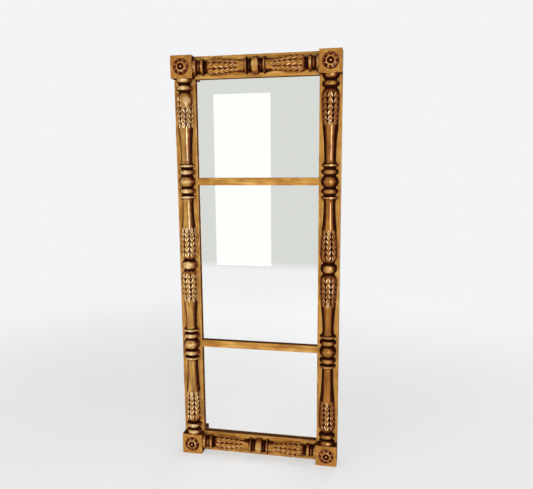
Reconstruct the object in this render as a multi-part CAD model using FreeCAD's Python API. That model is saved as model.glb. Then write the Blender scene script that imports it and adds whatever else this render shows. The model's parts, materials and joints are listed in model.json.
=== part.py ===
"""Three-pane mirror in a split-baluster frame, one STEP file for each piece.

X runs across the mirror, Y from its front to the wall behind it, Z up. The origin is the middle of the
base of the whole mirror, so the mirror stands on Z = 0 and reaches as far forward as it does back.
All sizes are in millimetres.
"""

import FreeCAD, Part
import math
import os
from FreeCAD import Vector

# Openings of the frame and the boards round them
sight_width = 361.0
end_pane_sight = 283.5
middle_pane_sight = 482.0
board_width = 63.5
lip_thickness = 10.0
rabbet_width = 8.0
arris_radius = 1.0

# Bars between the panes
bar_width = 22.0
bar_rabbet = 7.0
bar_arris_radius = 2.0
tenon_length = 14.0
tenon_thickness = 8.0

# What the rabbets hold
glass_thickness = 3.0
backboard_thickness = 7.0
backboard_edge = 4.0
backboard_bevel = 24.0
backboard_recess = 2.0
pane_clearance = 1.0

# Corner blocks and rosettes
block_projection = 30.5
block_arris_radius = 1.2
rosette_radius = 22.0
rosette_valley_radius = 20.0
rosette_height = 4.5
rosette_edge = 1.4
rosette_floor = 1.6
rosette_ridge_radius = 11.5
rosette_ridge_width = 1.6
rosette_well_radius = 8.6
petal_count = 8
gouge_radius = 8.5
gouge_depth = 1.5

# Turned balusters: radii that the stile and rail turnings share
vase_radius = 26.4
neck_radius = 17.6
collar_radius = 24.3
cap_radius = 24.5
cap_root_radius = 18.2

# Stile turning, lengths along the axis
reel_radius = 24.2
reel_length = 27.0
reel_round = 6.5
shaft_radius = 16.7
ring_radius = 24.9
ring_length = 16.0
ball_radius = 25.3
ball_length = 31.0
neck_length = 4.2
collar_slope = 3.8
collar_edge = 4.6
cove_length = 12.5
shoulder_length = 20.5
vase_share = 0.51
cap_length = 12.0
cap_fillet = 2.6
cap_neck = 2.9

# Rail turning, lengths along the axis
rail_reel_radius = 25.4
rail_reel_length = 23.0
rail_reel_round = 4.0
rail_shaft_radius = 18.0
listel_radius = 20.2
listel_length = 4.6
groove_length = 2.9
rail_collar_slope = 2.4
rail_collar_edge = 4.0
rail_cove_length = 10.0
rail_shoulder_length = 16.0
rail_vase_share = 0.53
rail_neck_length = 9.0
rail_ring_radius = 23.6
rail_ring_length = 9.6
rail_cap_length = 10.5

# Hangers on the backs of the stiles
hanger_drop = 262.0
strap_width = 18.0
strap_length = 50.0
strap_thickness = 1.5
strap_corner_radius = 5.0
eye_sweep_deg = 290.0
ring_bar_radius = 1.5
ring_play = 0.4
ring_bow_radius = 14.0
ring_bow_width = 3.0
ring_bow_thickness = 2.4
strap_first_hole = 24.0
strap_second_hole = 41.0

# Fasteners. The brads' places are shares of the rabbet wall that they stand in.
hole_slack = 0.05
hanger_screw_radius = 1.9
hanger_screw_head_radius = 3.7
hanger_screw_length = 17.0
corner_screw_radius = 2.2
corner_screw_head_radius = 4.4
corner_screw_bite = 16.0
pin_radius = 1.0
pin_bite = 9.0
pin_head_radius = 3.8
brad_size = 1.6
brad_bite = 8.0
brad_reach = 6.5
brad_places = (0.25, 0.75)

# Heights and widths that follow from the sizes above
board_thickness = lip_thickness + glass_thickness + backboard_thickness + backboard_recess
height = 2 * (board_width + end_pane_sight + bar_width) + middle_pane_sight
width = sight_width + 2 * board_width
mid_height = height / 2
half_width = width / 2
half_sight = sight_width / 2
half_rabbet = half_sight + rabbet_width
bar_offset = (middle_pane_sight + bar_width) / 2
bar_heights = {"lower_bar": mid_height - bar_offset, "upper_bar": mid_height + bar_offset}
rear_width = board_width - rabbet_width
tongue_width = bar_width - 2 * bar_rabbet

# Planes from the front to the back
eye_radius = ring_bar_radius + ring_play + strap_thickness
depth = rosette_height + block_projection + board_thickness + 2 * eye_radius
front_y = -depth / 2
block_y = front_y + rosette_height
face_y = block_y + block_projection
glass_y = face_y + lip_thickness
backboard_y = glass_y + glass_thickness
back_y = face_y + board_thickness

# Centre lines
stile_x = half_width - board_width / 2
rail_z = {"bottom": board_width / 2, "top": height - board_width / 2}
hanger_x = half_width - rear_width / 2
hanger_y = back_y + eye_radius
hanger_z = height - hanger_drop
sides = {"left": -1, "right": 1}

TO_FRONT = Vector(0, -1, 0)
TO_BACK = Vector(0, 1, 0)
UP = Vector(0, 0, 1)
ORIGIN = Vector(0, 0, 0)
SAME_PLACE = 0.001


def cuboid(x_range, y_range, z_range):
    """A plain box between two values on each axis, given in either order."""
    low = [min(pair) for pair in (x_range, y_range, z_range)]
    size = [abs(pair[1] - pair[0]) for pair in (x_range, y_range, z_range)]
    return Part.makeBox(size[0], size[1], size[2], Vector(*low))


def fused(first, *others):
    """One solid out of touching ones, with the seams between flush faces removed."""
    return first.fuse(list(others)).removeSplitter()


def eased(shape, radius, wanted):
    """The shape with its straight edges rounded where wanted(first end, last end) holds."""
    edges = [edge for edge in shape.Edges if wanted(edge.Vertexes[0].Point, edge.Vertexes[-1].Point)]
    return shape.makeFillet(radius, edges)


def spun(points, origin, direction):
    """A solid of revolution from (radius, distance along the direction) points."""
    face = Part.Face(Part.makePolygon([Vector(r, 0, d) for r, d in points + points[:1]]))
    solid = face.revolve(ORIGIN, UP, 360)
    return aimed(solid, origin, direction)


def aimed(shape, origin, direction):
    """The shape turned from +Z to the direction and moved to the origin point."""
    placed = shape.copy()
    placed.Placement = FreeCAD.Placement(origin, FreeCAD.Rotation(UP, direction))
    return placed


def wood_screw(origin, direction, length, shank, head, slack=0.0):
    """A countersunk screw, or with slack the hole that it sits in. The head's face is at the origin."""
    wide = head + slack
    thin = shank + slack
    points = [(0, 0), (wide, 0), (thin, head - shank), (thin, length + slack), (0, length + slack)]
    return spun(points, origin, direction)


class Turning:
    """Outline of half a turning, from its middle to one end, as runs between (station, radius) points."""

    def __init__(self, radius):
        self.at = (0.0, radius)
        self.runs = []

    def line(self, station, radius):
        """A straight run to the point."""
        self.runs.append((self.at, (station, radius)))
        self.at = (station, radius)

    def step(self, radius):
        """A square shoulder to another radius."""
        self.line(self.at[0], radius)

    def along(self, length):
        """A plain cylinder of the length."""
        self.line(self.at[0] + length, self.at[1])

    def arc(self, through, end):
        """A round run through one point to another."""
        self.runs.append((self.at, through, end))
        self.at = end

    def bead(self, length, crest):
        """A ring that swells to its crest and comes back to the radius it started from."""
        station, radius = self.at
        self.arc((station + length / 2, crest), (station + length, radius))

    def level_off(self, station, radius):
        """A round run that ends parallel to the axis."""
        self.arc(self.tangent_middle((station, radius), self.at), (station, radius))

    def turn_away(self, station, radius):
        """A round run that starts parallel to the axis."""
        self.arc(self.tangent_middle(self.at, (station, radius)), (station, radius))

    def ogee(self, station, radius, share):
        """Two round runs that meet smoothly, parallel to the axis at both ends.

        The meeting point lies on the straight line between the ends, at the share of the way along it.
        """
        start = self.at
        meeting = tuple(a + share * (b - a) for a, b in zip(start, (station, radius)))
        self.turn_away(*meeting)
        self.level_off(station, radius)

    @staticmethod
    def tangent_middle(level, other):
        """Middle of the arc between two points that is parallel to the axis at the level one."""
        run = other[0] - level[0]
        drop = other[1] - level[1]
        arc_radius = (run ** 2 + drop ** 2) / (2 * abs(drop))
        half_angle = math.atan2(abs(drop), abs(run))
        station = level[0] + math.copysign(arc_radius * math.sin(half_angle), run)
        return station, level[1] + math.copysign(arc_radius * (1 - math.cos(half_angle)), drop)

    def split_solid(self, place):
        """The half-round solid of both halves, where place(station, radius) gives points on its flat back."""
        edges = []
        for mirrored in (1, -1):
            for run in self.runs:
                points = [place(mirrored * station, radius) for station, radius in run]
                edges.append(Part.Arc(*points).toShape() if len(run) == 3 else Part.makeLine(*points))
        end, radius = self.at
        corners = [place(end, radius), place(end, 0), place(-end, 0), place(-end, radius)]
        edges += [Part.makeLine(first, second) for first, second in zip(corners, corners[1:])]
        outline = Part.Wire(Part.__sortEdges__(edges))
        axis = place(0, 1).sub(place(0, 0)).cross(TO_FRONT)
        return Part.Face(outline).revolve(place(0, 0), axis, 180).removeSplitter()


def stile_turning():
    """Half of the tall turning: reel, vase, shaft, ball between rings, shaft, vase, ring and cap."""
    half_length = mid_height - board_width
    ring_group = ball_length / 2 + neck_length + ring_length + neck_length + collar_slope + collar_edge
    cap_start = half_length - cap_length
    ring_end = cap_start - cap_fillet - cap_neck
    vase_end = ring_end - ring_length - neck_length

    turning = Turning(reel_radius)
    turning.along(reel_length / 2 - reel_round)
    turning.turn_away(reel_length / 2, neck_radius)
    turning.along(neck_length)
    turning.level_off(turning.at[0] + shoulder_length, vase_radius)
    turning.ogee(bar_offset - ring_group - cove_length, shaft_radius, vase_share)
    turning.turn_away(bar_offset - ring_group, collar_radius)
    turning.along(collar_edge)
    turning.line(turning.at[0] + collar_slope, neck_radius)
    turning.along(neck_length)
    turning.bead(ring_length, ring_radius)
    turning.along(neck_length)
    turning.bead(ball_length, ball_radius)
    turning.along(neck_length)
    turning.bead(ring_length, ring_radius)
    turning.along(neck_length)
    turning.line(turning.at[0] + collar_slope, collar_radius)
    turning.along(collar_edge)
    turning.level_off(turning.at[0] + cove_length, shaft_radius)
    turning.ogee(vase_end - shoulder_length, vase_radius, 1 - vase_share)
    turning.turn_away(vase_end, neck_radius)
    turning.along(neck_length)
    turning.bead(ring_length, ring_radius)
    turning.along(cap_neck)
    turning.step(cap_root_radius)
    turning.along(cap_fillet)
    turning.level_off(half_length, cap_radius)
    return turning


def rail_turning():
    """Half of the short turning: reel, listel, collar, shaft, vase, deep neck, ring, listel and cap."""
    half_length = half_width - board_width
    cap_start = half_length - rail_cap_length
    ring_end = cap_start - 2 * groove_length - listel_length
    vase_end = ring_end - rail_ring_length - rail_neck_length

    turning = Turning(rail_reel_radius)
    turning.along(rail_reel_length / 2 - rail_reel_round)
    turning.turn_away(rail_reel_length / 2, neck_radius)
    turning.along(groove_length)
    turning.step(listel_radius)
    turning.along(listel_length)
    turning.step(neck_radius)
    turning.along(groove_length)
    turning.line(turning.at[0] + rail_collar_slope, collar_radius)
    turning.along(rail_collar_edge)
    turning.level_off(turning.at[0] + rail_cove_length, rail_shaft_radius)
    turning.ogee(vase_end - rail_shoulder_length, vase_radius, 1 - rail_vase_share)
    turning.turn_away(vase_end, neck_radius)
    turning.along(rail_neck_length)
    turning.bead(rail_ring_length, rail_ring_radius)
    turning.along(groove_length)
    turning.step(listel_radius)
    turning.along(listel_length)
    turning.step(neck_radius)
    turning.along(groove_length)
    turning.step(cap_root_radius)
    turning.level_off(half_length, cap_radius)
    return turning


def corners():
    """Name, x and z of each corner's centre."""
    for level, z in rail_z.items():
        for side, sign in sides.items():
            yield f"{level}_{side}", sign * stile_x, z


def corner_screw(x, z, slack=0.0):
    """The screw from the back of a lap into its block."""
    length = board_thickness + corner_screw_bite
    return wood_screw(
        Vector(x, back_y, z), TO_FRONT, length, corner_screw_radius, corner_screw_head_radius, slack
    )


def hanger_screws(sign, slack=0.0):
    """Both screws of one hanger strap."""
    face = back_y + strap_thickness
    spots = [Vector(sign * hanger_x, face, hanger_z - down) for down in (strap_first_hole, strap_second_hole)]
    sizes = (hanger_screw_length, hanger_screw_radius, hanger_screw_head_radius, slack)
    return [wood_screw(spot, TO_FRONT, *sizes) for spot in spots]


def tenon(sign, z, slack=0.0):
    """The stub on one end of a bar, or with slack its mortise in the stile."""
    middle_y = (glass_y + back_y) / 2
    deep = tenon_thickness / 2 + slack
    tall = tongue_width / 2 + slack
    ends = (sign * half_rabbet, sign * (half_rabbet + tenon_length + slack))
    return cuboid(ends, (middle_y - deep, middle_y + deep), (z - tall, z + tall))


def pane_ranges():
    """Lowest and highest edge of each pane's rabbet."""
    low = board_width - rabbet_width
    lower_bar = bar_heights["lower_bar"]
    upper_bar = bar_heights["upper_bar"]
    half_tongue = tongue_width / 2
    return {
        "lower": (low, lower_bar - half_tongue),
        "middle": (lower_bar + half_tongue, upper_bar - half_tongue),
        "upper": (upper_bar + half_tongue, height - low),
    }


def brad_y():
    """Middle plane of the brads: their tips bear on the bevel of the backboards."""
    reach = brad_reach - pane_clearance
    rise = (backboard_thickness - backboard_edge) * reach / backboard_bevel
    return backboard_y + backboard_edge + rise + hole_slack + brad_size / 2


def brad(at, inward, slack=0.0):
    """A square brad, half in the wood. It crosses the rabbet's wall at a point and points into the pane."""
    half = brad_size / 2 + slack
    tail = at.sub(Vector(inward).multiply(brad_bite + slack))
    stick = Part.makeBox(2 * half, 2 * half, brad_bite + slack + brad_reach, Vector(-half, -half, 0))
    return aimed(stick, tail, inward)


def side_brads(sign, slack=0.0):
    """Two brads for each backboard, in the rabbet wall of one stile."""
    found = []
    for low, high in pane_ranges().values():
        for share in brad_places:
            spot = Vector(sign * half_rabbet, brad_y(), low + share * (high - low))
            found.append(brad(spot, Vector(-sign, 0, 0), slack))
    return found


def end_brads(level, slack=0.0):
    """Two brads in the rabbet wall of one rail."""
    wall = {"bottom": pane_ranges()["lower"][0], "top": pane_ranges()["upper"][1]}[level]
    inward = Vector(0, 0, 1 if level == "bottom" else -1)
    spots = [Vector((2 * share - 1) * half_rabbet, brad_y(), wall) for share in brad_places]
    return [brad(spot, inward, slack) for spot in spots]


def stile(sign):
    """A side board: full height in front, and between the rails' laps behind the lip."""
    outer = sign * half_width
    front = cuboid((sign * half_sight, outer), (face_y, glass_y), (0, height))
    rear = cuboid((sign * half_rabbet, outer), (glass_y, back_y), (rear_width, height - rear_width))
    board = eased(
        fused(front, rear),
        arris_radius,
        lambda a, b: all(abs(p.x - outer) + abs(p.y - face_y) < SAME_PLACE for p in (a, b)),
    )
    holes = [tenon(sign, z, hole_slack) for z in bar_heights.values()]
    holes += [corner_screw(sign * stile_x, z, hole_slack) for z in rail_z.values()]
    holes += hanger_screws(sign, hole_slack) + side_brads(sign, hole_slack)
    return board.cut(holes)


def rail(level):
    """A top or bottom board: between the stiles in front, and across the full width behind the lip."""
    outer = {"bottom": 0, "top": height}[level]
    inward = 1 if level == "bottom" else -1
    front = cuboid((-half_sight, half_sight), (face_y, glass_y), (outer, outer + inward * board_width))
    rear = cuboid((-half_width, half_width), (glass_y, back_y), (outer, outer + inward * rear_width))
    board = eased(
        fused(front, rear),
        arris_radius,
        lambda a, b: all(abs(p.z - outer) + abs(p.y - face_y) < SAME_PLACE for p in (a, b)),
    )
    holes = [corner_screw(sign * stile_x, rail_z[level], hole_slack) for sign in sides.values()]
    return board.cut(holes + end_brads(level, hole_slack))


def corner_block(x, z):
    """A square block on the face of a lapped corner, eased round its front."""
    half = board_width / 2
    cube = cuboid((x - half, x + half), (block_y, face_y), (z - half, z + half))
    cube = eased(
        cube, block_arris_radius, lambda a, b: all(abs(p.y - block_y) < SAME_PLACE for p in (a, b))
    )
    return cube.cut([corner_screw(x, z, hole_slack), rosette_pin_shank(x, z, hole_slack)])


def rosette_pin_shank(x, z, slack=0.0):
    """The pin's shank, or with slack its hole through the rosette into the block."""
    length = rosette_floor + pin_bite + slack
    return Part.makeCylinder(pin_radius + slack, length, Vector(x, block_y - rosette_floor, z), TO_BACK)


def rosette_pin(x, z):
    """A pin whose domed head is the bead in the middle of a rosette."""
    rise = rosette_height - rosette_floor
    dome_radius = (pin_head_radius ** 2 + rise ** 2) / (2 * rise)
    seat = Vector(x, block_y - rosette_floor, z)
    ball = Part.makeSphere(dome_radius, seat.sub(Vector(0, rise - dome_radius, 0)))
    head = ball.common(Part.makeCylinder(2 * dome_radius, rise, seat, TO_FRONT))
    return fused(head, rosette_pin_shank(x, z))


def rosette(x, z):
    """A lobed disc with gouged petals, a raised ridge and a well for the bead."""
    step = 2 * math.pi / petal_count

    def rim(radius, turns):
        return Vector(radius * math.cos(turns * step), radius * math.sin(turns * step), 0)

    lobes = []
    for petal in range(petal_count):
        valleys = [rim(rosette_valley_radius, petal + half) for half in (-0.5, 0.5)]
        lobes.append(Part.Arc(valleys[0], rim(rosette_radius, petal), valleys[1]).toShape())
    lobed = Part.Face(Part.Wire(lobes)).extrude(Vector(0, 0, rosette_height))

    reach = rosette_radius + rosette_edge
    inner_ridge = rosette_ridge_radius - rosette_ridge_width
    section = [
        (pin_radius + hole_slack, 0),
        (reach, 0),
        (reach, rosette_edge),
        (rosette_ridge_radius, rosette_height),
        (inner_ridge, rosette_height),
        (rosette_well_radius, rosette_floor),
        (pin_radius + hole_slack, rosette_floor),
    ]
    body = spun(section, ORIGIN, UP).common(lobed)

    slope = math.atan2(rosette_height - rosette_edge, reach - rosette_ridge_radius)
    lift = gouge_radius - gouge_depth
    gouge = Part.makeCylinder(gouge_radius, 2 * rosette_radius)
    gouge.Placement = FreeCAD.Placement(
        Vector(rosette_ridge_radius + lift * math.sin(slope), 0, rosette_height + lift * math.cos(slope)),
        FreeCAD.Rotation(Vector(0, 1, 0), 90 + math.degrees(slope)),
    )
    cuts = []
    for petal in range(petal_count):
        cut = gouge.copy()
        cut.rotate(ORIGIN, UP, math.degrees(petal * step))
        cuts.append(cut)
    return aimed(body.cut(cuts), Vector(x, block_y, z), TO_FRONT)


def bar(z):
    """A dividing bar: a flush face between the stiles, a tongue between the panes and two stub tenons."""
    half = bar_width / 2
    face = cuboid((-half_sight, half_sight), (face_y, glass_y), (z - half, z + half))
    face = eased(
        face,
        bar_arris_radius,
        lambda a, b: abs(a.x - b.x) > SAME_PLACE and all(abs(p.y - face_y) < SAME_PLACE for p in (a, b)),
    )
    half_tongue = tongue_width / 2
    tongue = cuboid((-half_rabbet, half_rabbet), (glass_y, back_y), (z - half_tongue, z + half_tongue))
    return fused(face, tongue, *(tenon(sign, z) for sign in sides.values()))


def pane(low, high):
    """A mirror plate that lies on the lips, with room all round its edge."""
    across = half_rabbet - pane_clearance
    return cuboid((-across, across), (glass_y, backboard_y), (low + pane_clearance, high - pane_clearance))


def backboard(low, high):
    """A thin board behind a pane, bevelled at the back so that its edges fit under the brads."""
    across = half_rabbet - pane_clearance
    low += pane_clearance
    high -= pane_clearance
    bevel_y = backboard_y + backboard_edge
    inner = across - backboard_bevel
    flat = cuboid((-across, across), (backboard_y, bevel_y), (low, high))
    raised = Part.makeWedge(
        -across, bevel_y, low, low + backboard_bevel, -inner,
        across, backboard_y + backboard_thickness, high, high - backboard_bevel, inner,
    )
    return fused(flat, raised)


def hanger_strap(sign):
    """A strap rolled into an eye at its top, with two countersunk holes."""
    inner_radius = eye_radius - strap_thickness
    sweep = math.radians(eye_sweep_deg)

    def on_eye(radius, angle):
        return Vector(0, hanger_y - radius * math.cos(angle), hanger_z + radius * math.sin(angle))

    foot = hanger_z - strap_length
    outer_end = on_eye(eye_radius, sweep)
    inner_end = on_eye(inner_radius, sweep)
    heel = Vector(0, back_y, foot)
    toe = Vector(0, back_y + strap_thickness, foot)
    outline = Part.Wire([
        Part.makeLine(heel, on_eye(eye_radius, 0)),
        Part.Arc(on_eye(eye_radius, 0), on_eye(eye_radius, sweep / 2), outer_end).toShape(),
        Part.makeLine(outer_end, inner_end),
        Part.Arc(inner_end, on_eye(inner_radius, sweep / 2), on_eye(inner_radius, 0)).toShape(),
        Part.makeLine(on_eye(inner_radius, 0), toe),
        Part.makeLine(toe, heel),
    ])
    outline.translate(Vector(sign * hanger_x - strap_width / 2, 0, 0))
    strap = Part.Face(outline).extrude(Vector(strap_width, 0, 0))
    strap = eased(
        strap,
        strap_corner_radius,
        lambda a, b: abs(a.y - b.y) > SAME_PLACE and all(abs(p.z - foot) < SAME_PLACE for p in (a, b)),
    )
    return strap.cut(hanger_screws(sign, hole_slack))


def hanger_ring(sign):
    """A D-ring that hangs from its round bar in the strap's eye."""
    axis = Vector(sign * hanger_x, hanger_y, hanger_z)
    outer = ring_bow_radius + ring_bow_width / 2
    inner = ring_bow_radius - ring_bow_width / 2
    start = axis.sub(Vector(0, ring_bow_thickness / 2, 0))
    disc = Part.makeCylinder(outer, ring_bow_thickness, start, TO_BACK)
    hole = Part.makeCylinder(inner, ring_bow_thickness, start, TO_BACK)
    above = cuboid((axis.x - outer, axis.x + outer), (start.y, hanger_y + outer), (hanger_z, hanger_z + outer))
    bow = disc.cut([hole, above])
    bar_start = axis.sub(Vector(outer, 0, 0))
    pivot = Part.makeCylinder(ring_bar_radius, 2 * outer, bar_start, Vector(1, 0, 0))
    return fused(bow, pivot)


def all_pieces():
    """Every node of the mirror, by name. A list holds the separate solids of a group."""
    pieces = {}
    tall = stile_turning()
    short = rail_turning()
    for side, sign in sides.items():
        x = sign * stile_x
        pieces[f"{side}_stile"] = stile(sign)
        pieces[f"{side}_baluster"] = tall.split_solid(lambda s, r, x=x: Vector(x + r, face_y, mid_height + s))
        pieces[f"{side}_hanger_strap"] = hanger_strap(sign)
        pieces[f"{side}_hanger_ring"] = hanger_ring(sign)
    for level, z in rail_z.items():
        pieces[f"{level}_rail"] = rail(level)
        pieces[f"{level}_baluster"] = short.split_solid(lambda s, r, z=z: Vector(s, face_y, z + r))
    for name, x, z in corners():
        pieces[f"corner_block_{name}"] = corner_block(x, z)
        pieces[f"rosette_{name}"] = rosette(x, z)
    for name, z in bar_heights.items():
        pieces[name] = bar(z)
    for name, (low, high) in pane_ranges().items():
        pieces[f"{name}_pane"] = pane(low, high)
        pieces[f"{name}_backboard"] = backboard(low, high)
    pieces["rosette_pins"] = [rosette_pin(x, z) for name, x, z in corners()]
    pieces["corner_screws"] = [corner_screw(x, z) for name, x, z in corners()]
    pieces["hanger_screws"] = [screw for sign in sides.values() for screw in hanger_screws(sign)]
    pieces["backboard_brads"] = [nail for sign in sides.values() for nail in side_brads(sign)]
    pieces["backboard_brads"] += [nail for level in rail_z for nail in end_brads(level)]
    return pieces


os.makedirs("parts", exist_ok=True)
for node, piece in all_pieces().items():
    solid = Part.makeCompound(piece) if isinstance(piece, list) else piece
    solid.exportStep(f"parts/{node}.step")
    print(f"{node}: {len(solid.Solids)} solid(s), valid {solid.isValid()}, {solid.Volume / 1000:.2f} cm3")
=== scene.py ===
"""Looks of a tall divided mirror in a carved and gilded split-baluster frame.

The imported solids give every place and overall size. This script carves the turned balusters and rosettes,
eases the corner blocks, rounds the rings, slots the screws and gives each surface its finish. Sizes are in
millimetres until a mesh is written, and Blender's own units are metres.
"""

import json
import logging
import math
from dataclasses import dataclass, field
from enum import Enum
from typing import Any, Callable, Optional, Union

import bmesh
import bpy
import numpy as np
from mathutils import Matrix, Vector


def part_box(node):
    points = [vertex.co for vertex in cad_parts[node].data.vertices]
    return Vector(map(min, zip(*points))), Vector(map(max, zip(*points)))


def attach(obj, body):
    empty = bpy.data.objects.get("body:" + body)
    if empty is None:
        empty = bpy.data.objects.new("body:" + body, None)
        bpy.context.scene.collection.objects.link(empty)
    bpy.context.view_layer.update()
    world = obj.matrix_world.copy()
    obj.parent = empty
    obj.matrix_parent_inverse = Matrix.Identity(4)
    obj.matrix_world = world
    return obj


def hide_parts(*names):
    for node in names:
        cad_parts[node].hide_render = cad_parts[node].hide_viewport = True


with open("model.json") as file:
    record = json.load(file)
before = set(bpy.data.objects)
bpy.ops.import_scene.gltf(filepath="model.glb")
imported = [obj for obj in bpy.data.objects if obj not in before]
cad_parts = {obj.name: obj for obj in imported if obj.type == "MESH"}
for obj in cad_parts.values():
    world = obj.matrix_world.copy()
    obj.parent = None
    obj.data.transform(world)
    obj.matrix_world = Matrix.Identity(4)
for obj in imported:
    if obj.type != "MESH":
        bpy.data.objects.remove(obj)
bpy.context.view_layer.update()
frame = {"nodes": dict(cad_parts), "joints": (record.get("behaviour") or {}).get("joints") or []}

MM = 0.001  # metres in a millimetre
TOUCHING = 0.001  # millimetres within which two points are one
NOT_ZERO = 1e-6  # keeps a divisor from being 0
FRAME_BODY = "frame"
SIDES = {"left": -1, "right": 1}
LEVELS = {"bottom": -1, "top": 1}
LOG = logging.getLogger("mirror")

Colour = tuple[float, float, float]
Place = tuple[float, float, float]
# Where something begins and where it is full, or a middle and a half width, or a mean and a swing.
Range = tuple[float, float]
Level = Union[float, np.ndarray]


def smooth(value: np.ndarray, low: Level, high: Level) -> np.ndarray:
    """Rise from 0 at low to 1 at high, as 3 t^2 - 2 t^3 of the clipped share t of the way.

    Args:
        value: Numbers to grade.
        low: Value that gives 0, for all of them or for each one.
        high: Value that gives 1. It may be the smaller one.

    Returns:
        Array of the same shape, from 0 to 1.
    """
    share = np.clip((value - low) / (high - low), 0.0, 1.0)
    return share * share * (3.0 - 2.0 * share)


def bump(value: np.ndarray, middle: float, reach: float) -> np.ndarray:
    """Bell of height 1 round a middle, as exp(-((value - middle) / reach)^2).

    Args:
        value: Numbers to grade.
        middle: Value that gives 1.
        reach: Distance at which the bell has fallen to 0.37.

    Returns:
        Array of the same shape, from 0 to 1.
    """
    return np.exp(-(((value - middle) / reach) ** 2))


def unevenness(first: np.ndarray, second: np.ndarray, seed: float) -> np.ndarray:
    """Slow handmade waver, as a sum of three sine products with unrelated wavelengths.

    Args:
        first: First coordinate, in radians of the slowest wave.
        second: Second coordinate, in the same unit.
        seed: Phase that makes one piece differ from the next.

    Returns:
        Array from about -1 to 1.
    """
    slow = np.sin(first + seed) * np.cos(second - 1.7 * seed)
    middle = np.sin(2.3 * first - 0.8 * second + 2.1 * seed)
    quick = np.sin(4.1 * first + 3.3 * second + 3.7 * seed)
    return 0.5 * slow + 0.3 * middle + 0.2 * quick


def vary(seed: float, *counts: tuple[float, np.ndarray]) -> np.ndarray:
    """Value that differs from leaf to leaf, as the sine of the seed plus each rate times its count.

    Args:
        seed: Phase that makes one piece differ from the next.
        counts: Pairs of a rate and the numbers of the leaves, sprigs or sides.

    Returns:
        Array from -1 to 1.
    """
    return np.sin(sum(rate * count for rate, count in counts) + seed)


def full_turn(steps: int) -> np.ndarray:
    """Angles evenly round a full turn, from 0 and without the last one."""
    return np.linspace(0.0, 2 * math.pi, steps, endpoint=False)


@dataclass(frozen=True)
class Layout:
    """Main planes and centre lines of the frame, in millimetres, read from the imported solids.

    Fields:
        face_y, back_y: Planes of the boards' faces and backs.
        block_y, rosette_y: Planes of the blocks' faces and of the flowers' crests.
        half_sight, half_width: Distances from the middle to the sight edges and the outer edges.
        height: Height of the frame.
        bar_offset: Distance from the middle of the frame to the centre line of a bar.
        hanger_x, hanger_y, hanger_z: Middle of the right ring's bar.
    """

    face_y: float
    back_y: float
    block_y: float
    rosette_y: float
    half_sight: float
    half_width: float
    height: float
    bar_offset: float
    hanger_x: float
    hanger_y: float
    hanger_z: float

    @classmethod
    def from_frame(cls) -> "Layout":
        """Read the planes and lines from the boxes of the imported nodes.

        Returns:
            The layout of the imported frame.
        """
        stile_low, stile_high = (np.array(corner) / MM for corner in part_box("right_stile"))
        block_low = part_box("corner_block_top_right")[0] / MM
        rosette_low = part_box("rosette_top_right")[0] / MM
        bars = [sum(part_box(name), Vector()).z / 2 / MM for name in ("lower_bar", "upper_bar")]
        swing = next(joint for joint in frame["joints"] if joint["name"] == "right_ring_swing")
        hanger = np.array(swing["pos_m"]) / MM
        return cls(
            face_y=stile_low[1],
            back_y=stile_high[1],
            block_y=block_low.y,
            rosette_y=rosette_low.y,
            half_sight=stile_low[0],
            half_width=stile_high[0],
            height=stile_high[2],
            bar_offset=(bars[1] - bars[0]) / 2,
            hanger_x=hanger[0],
            hanger_y=hanger[1],
            hanger_z=hanger[2],
        )

    @property
    def board_width(self) -> float:
        """Width of the boards, and of the square blocks on their corners."""
        return self.half_width - self.half_sight

    @property
    def stile_x(self) -> float:
        """Distance from the middle to the centre line of a stile."""
        return (self.half_width + self.half_sight) / 2

    @property
    def mid_height(self) -> float:
        """Height of the middle of the frame."""
        return self.height / 2

    def rail_z(self, level: str) -> float:
        """Height of the centre line of the bottom or top rail."""
        return self.mid_height + LEVELS[level] * (self.mid_height - self.board_width / 2)

    def corners(self) -> dict[str, tuple[float, float]]:
        """Centres of the corners.

        Returns:
            Points as (x, z), by the corner's name.
        """
        return {
            f"{level}_{side}": (sign * self.stile_x, self.rail_z(level))
            for level in LEVELS
            for side, sign in SIDES.items()
        }


@dataclass
class Patch:
    """A grid of points, closed round its columns, with values painted on the points.

    Fields:
        points: Array of rows x columns x 3, in millimetres.
        paint: Values from 0 to 1 by attribute name, each rows x columns.
        looped: True where the last row meets the first again.
    """

    points: np.ndarray
    paint: dict[str, np.ndarray] = field(default_factory=dict)
    looped: bool = False

    def faces(self) -> list[list[int]]:
        """Quads between neighbouring rows and columns, and one flat face over each open end.

        Returns:
            Lists of point numbers, row by row. An end that is a single point gets no face.
        """
        rows, columns = self.points.shape[:2]
        bands = rows if self.looped else rows - 1
        across, along = np.meshgrid(np.arange(bands), np.arange(columns), indexing="ij")
        beyond = (across + 1) % rows
        beside = (along + 1) % columns
        corners = [across * columns + along, across * columns + beside]
        corners += [beyond * columns + beside, beyond * columns + along]
        quads = np.stack(corners, axis=-1).reshape(-1, 4).tolist()
        if self.looped:
            return quads
        ends = [row for row in (0, rows - 1) if np.ptp(self.points[row], axis=0).max() > TOUCHING]
        return quads + [list(range(row * columns, (row + 1) * columns)) for row in ends]


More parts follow.
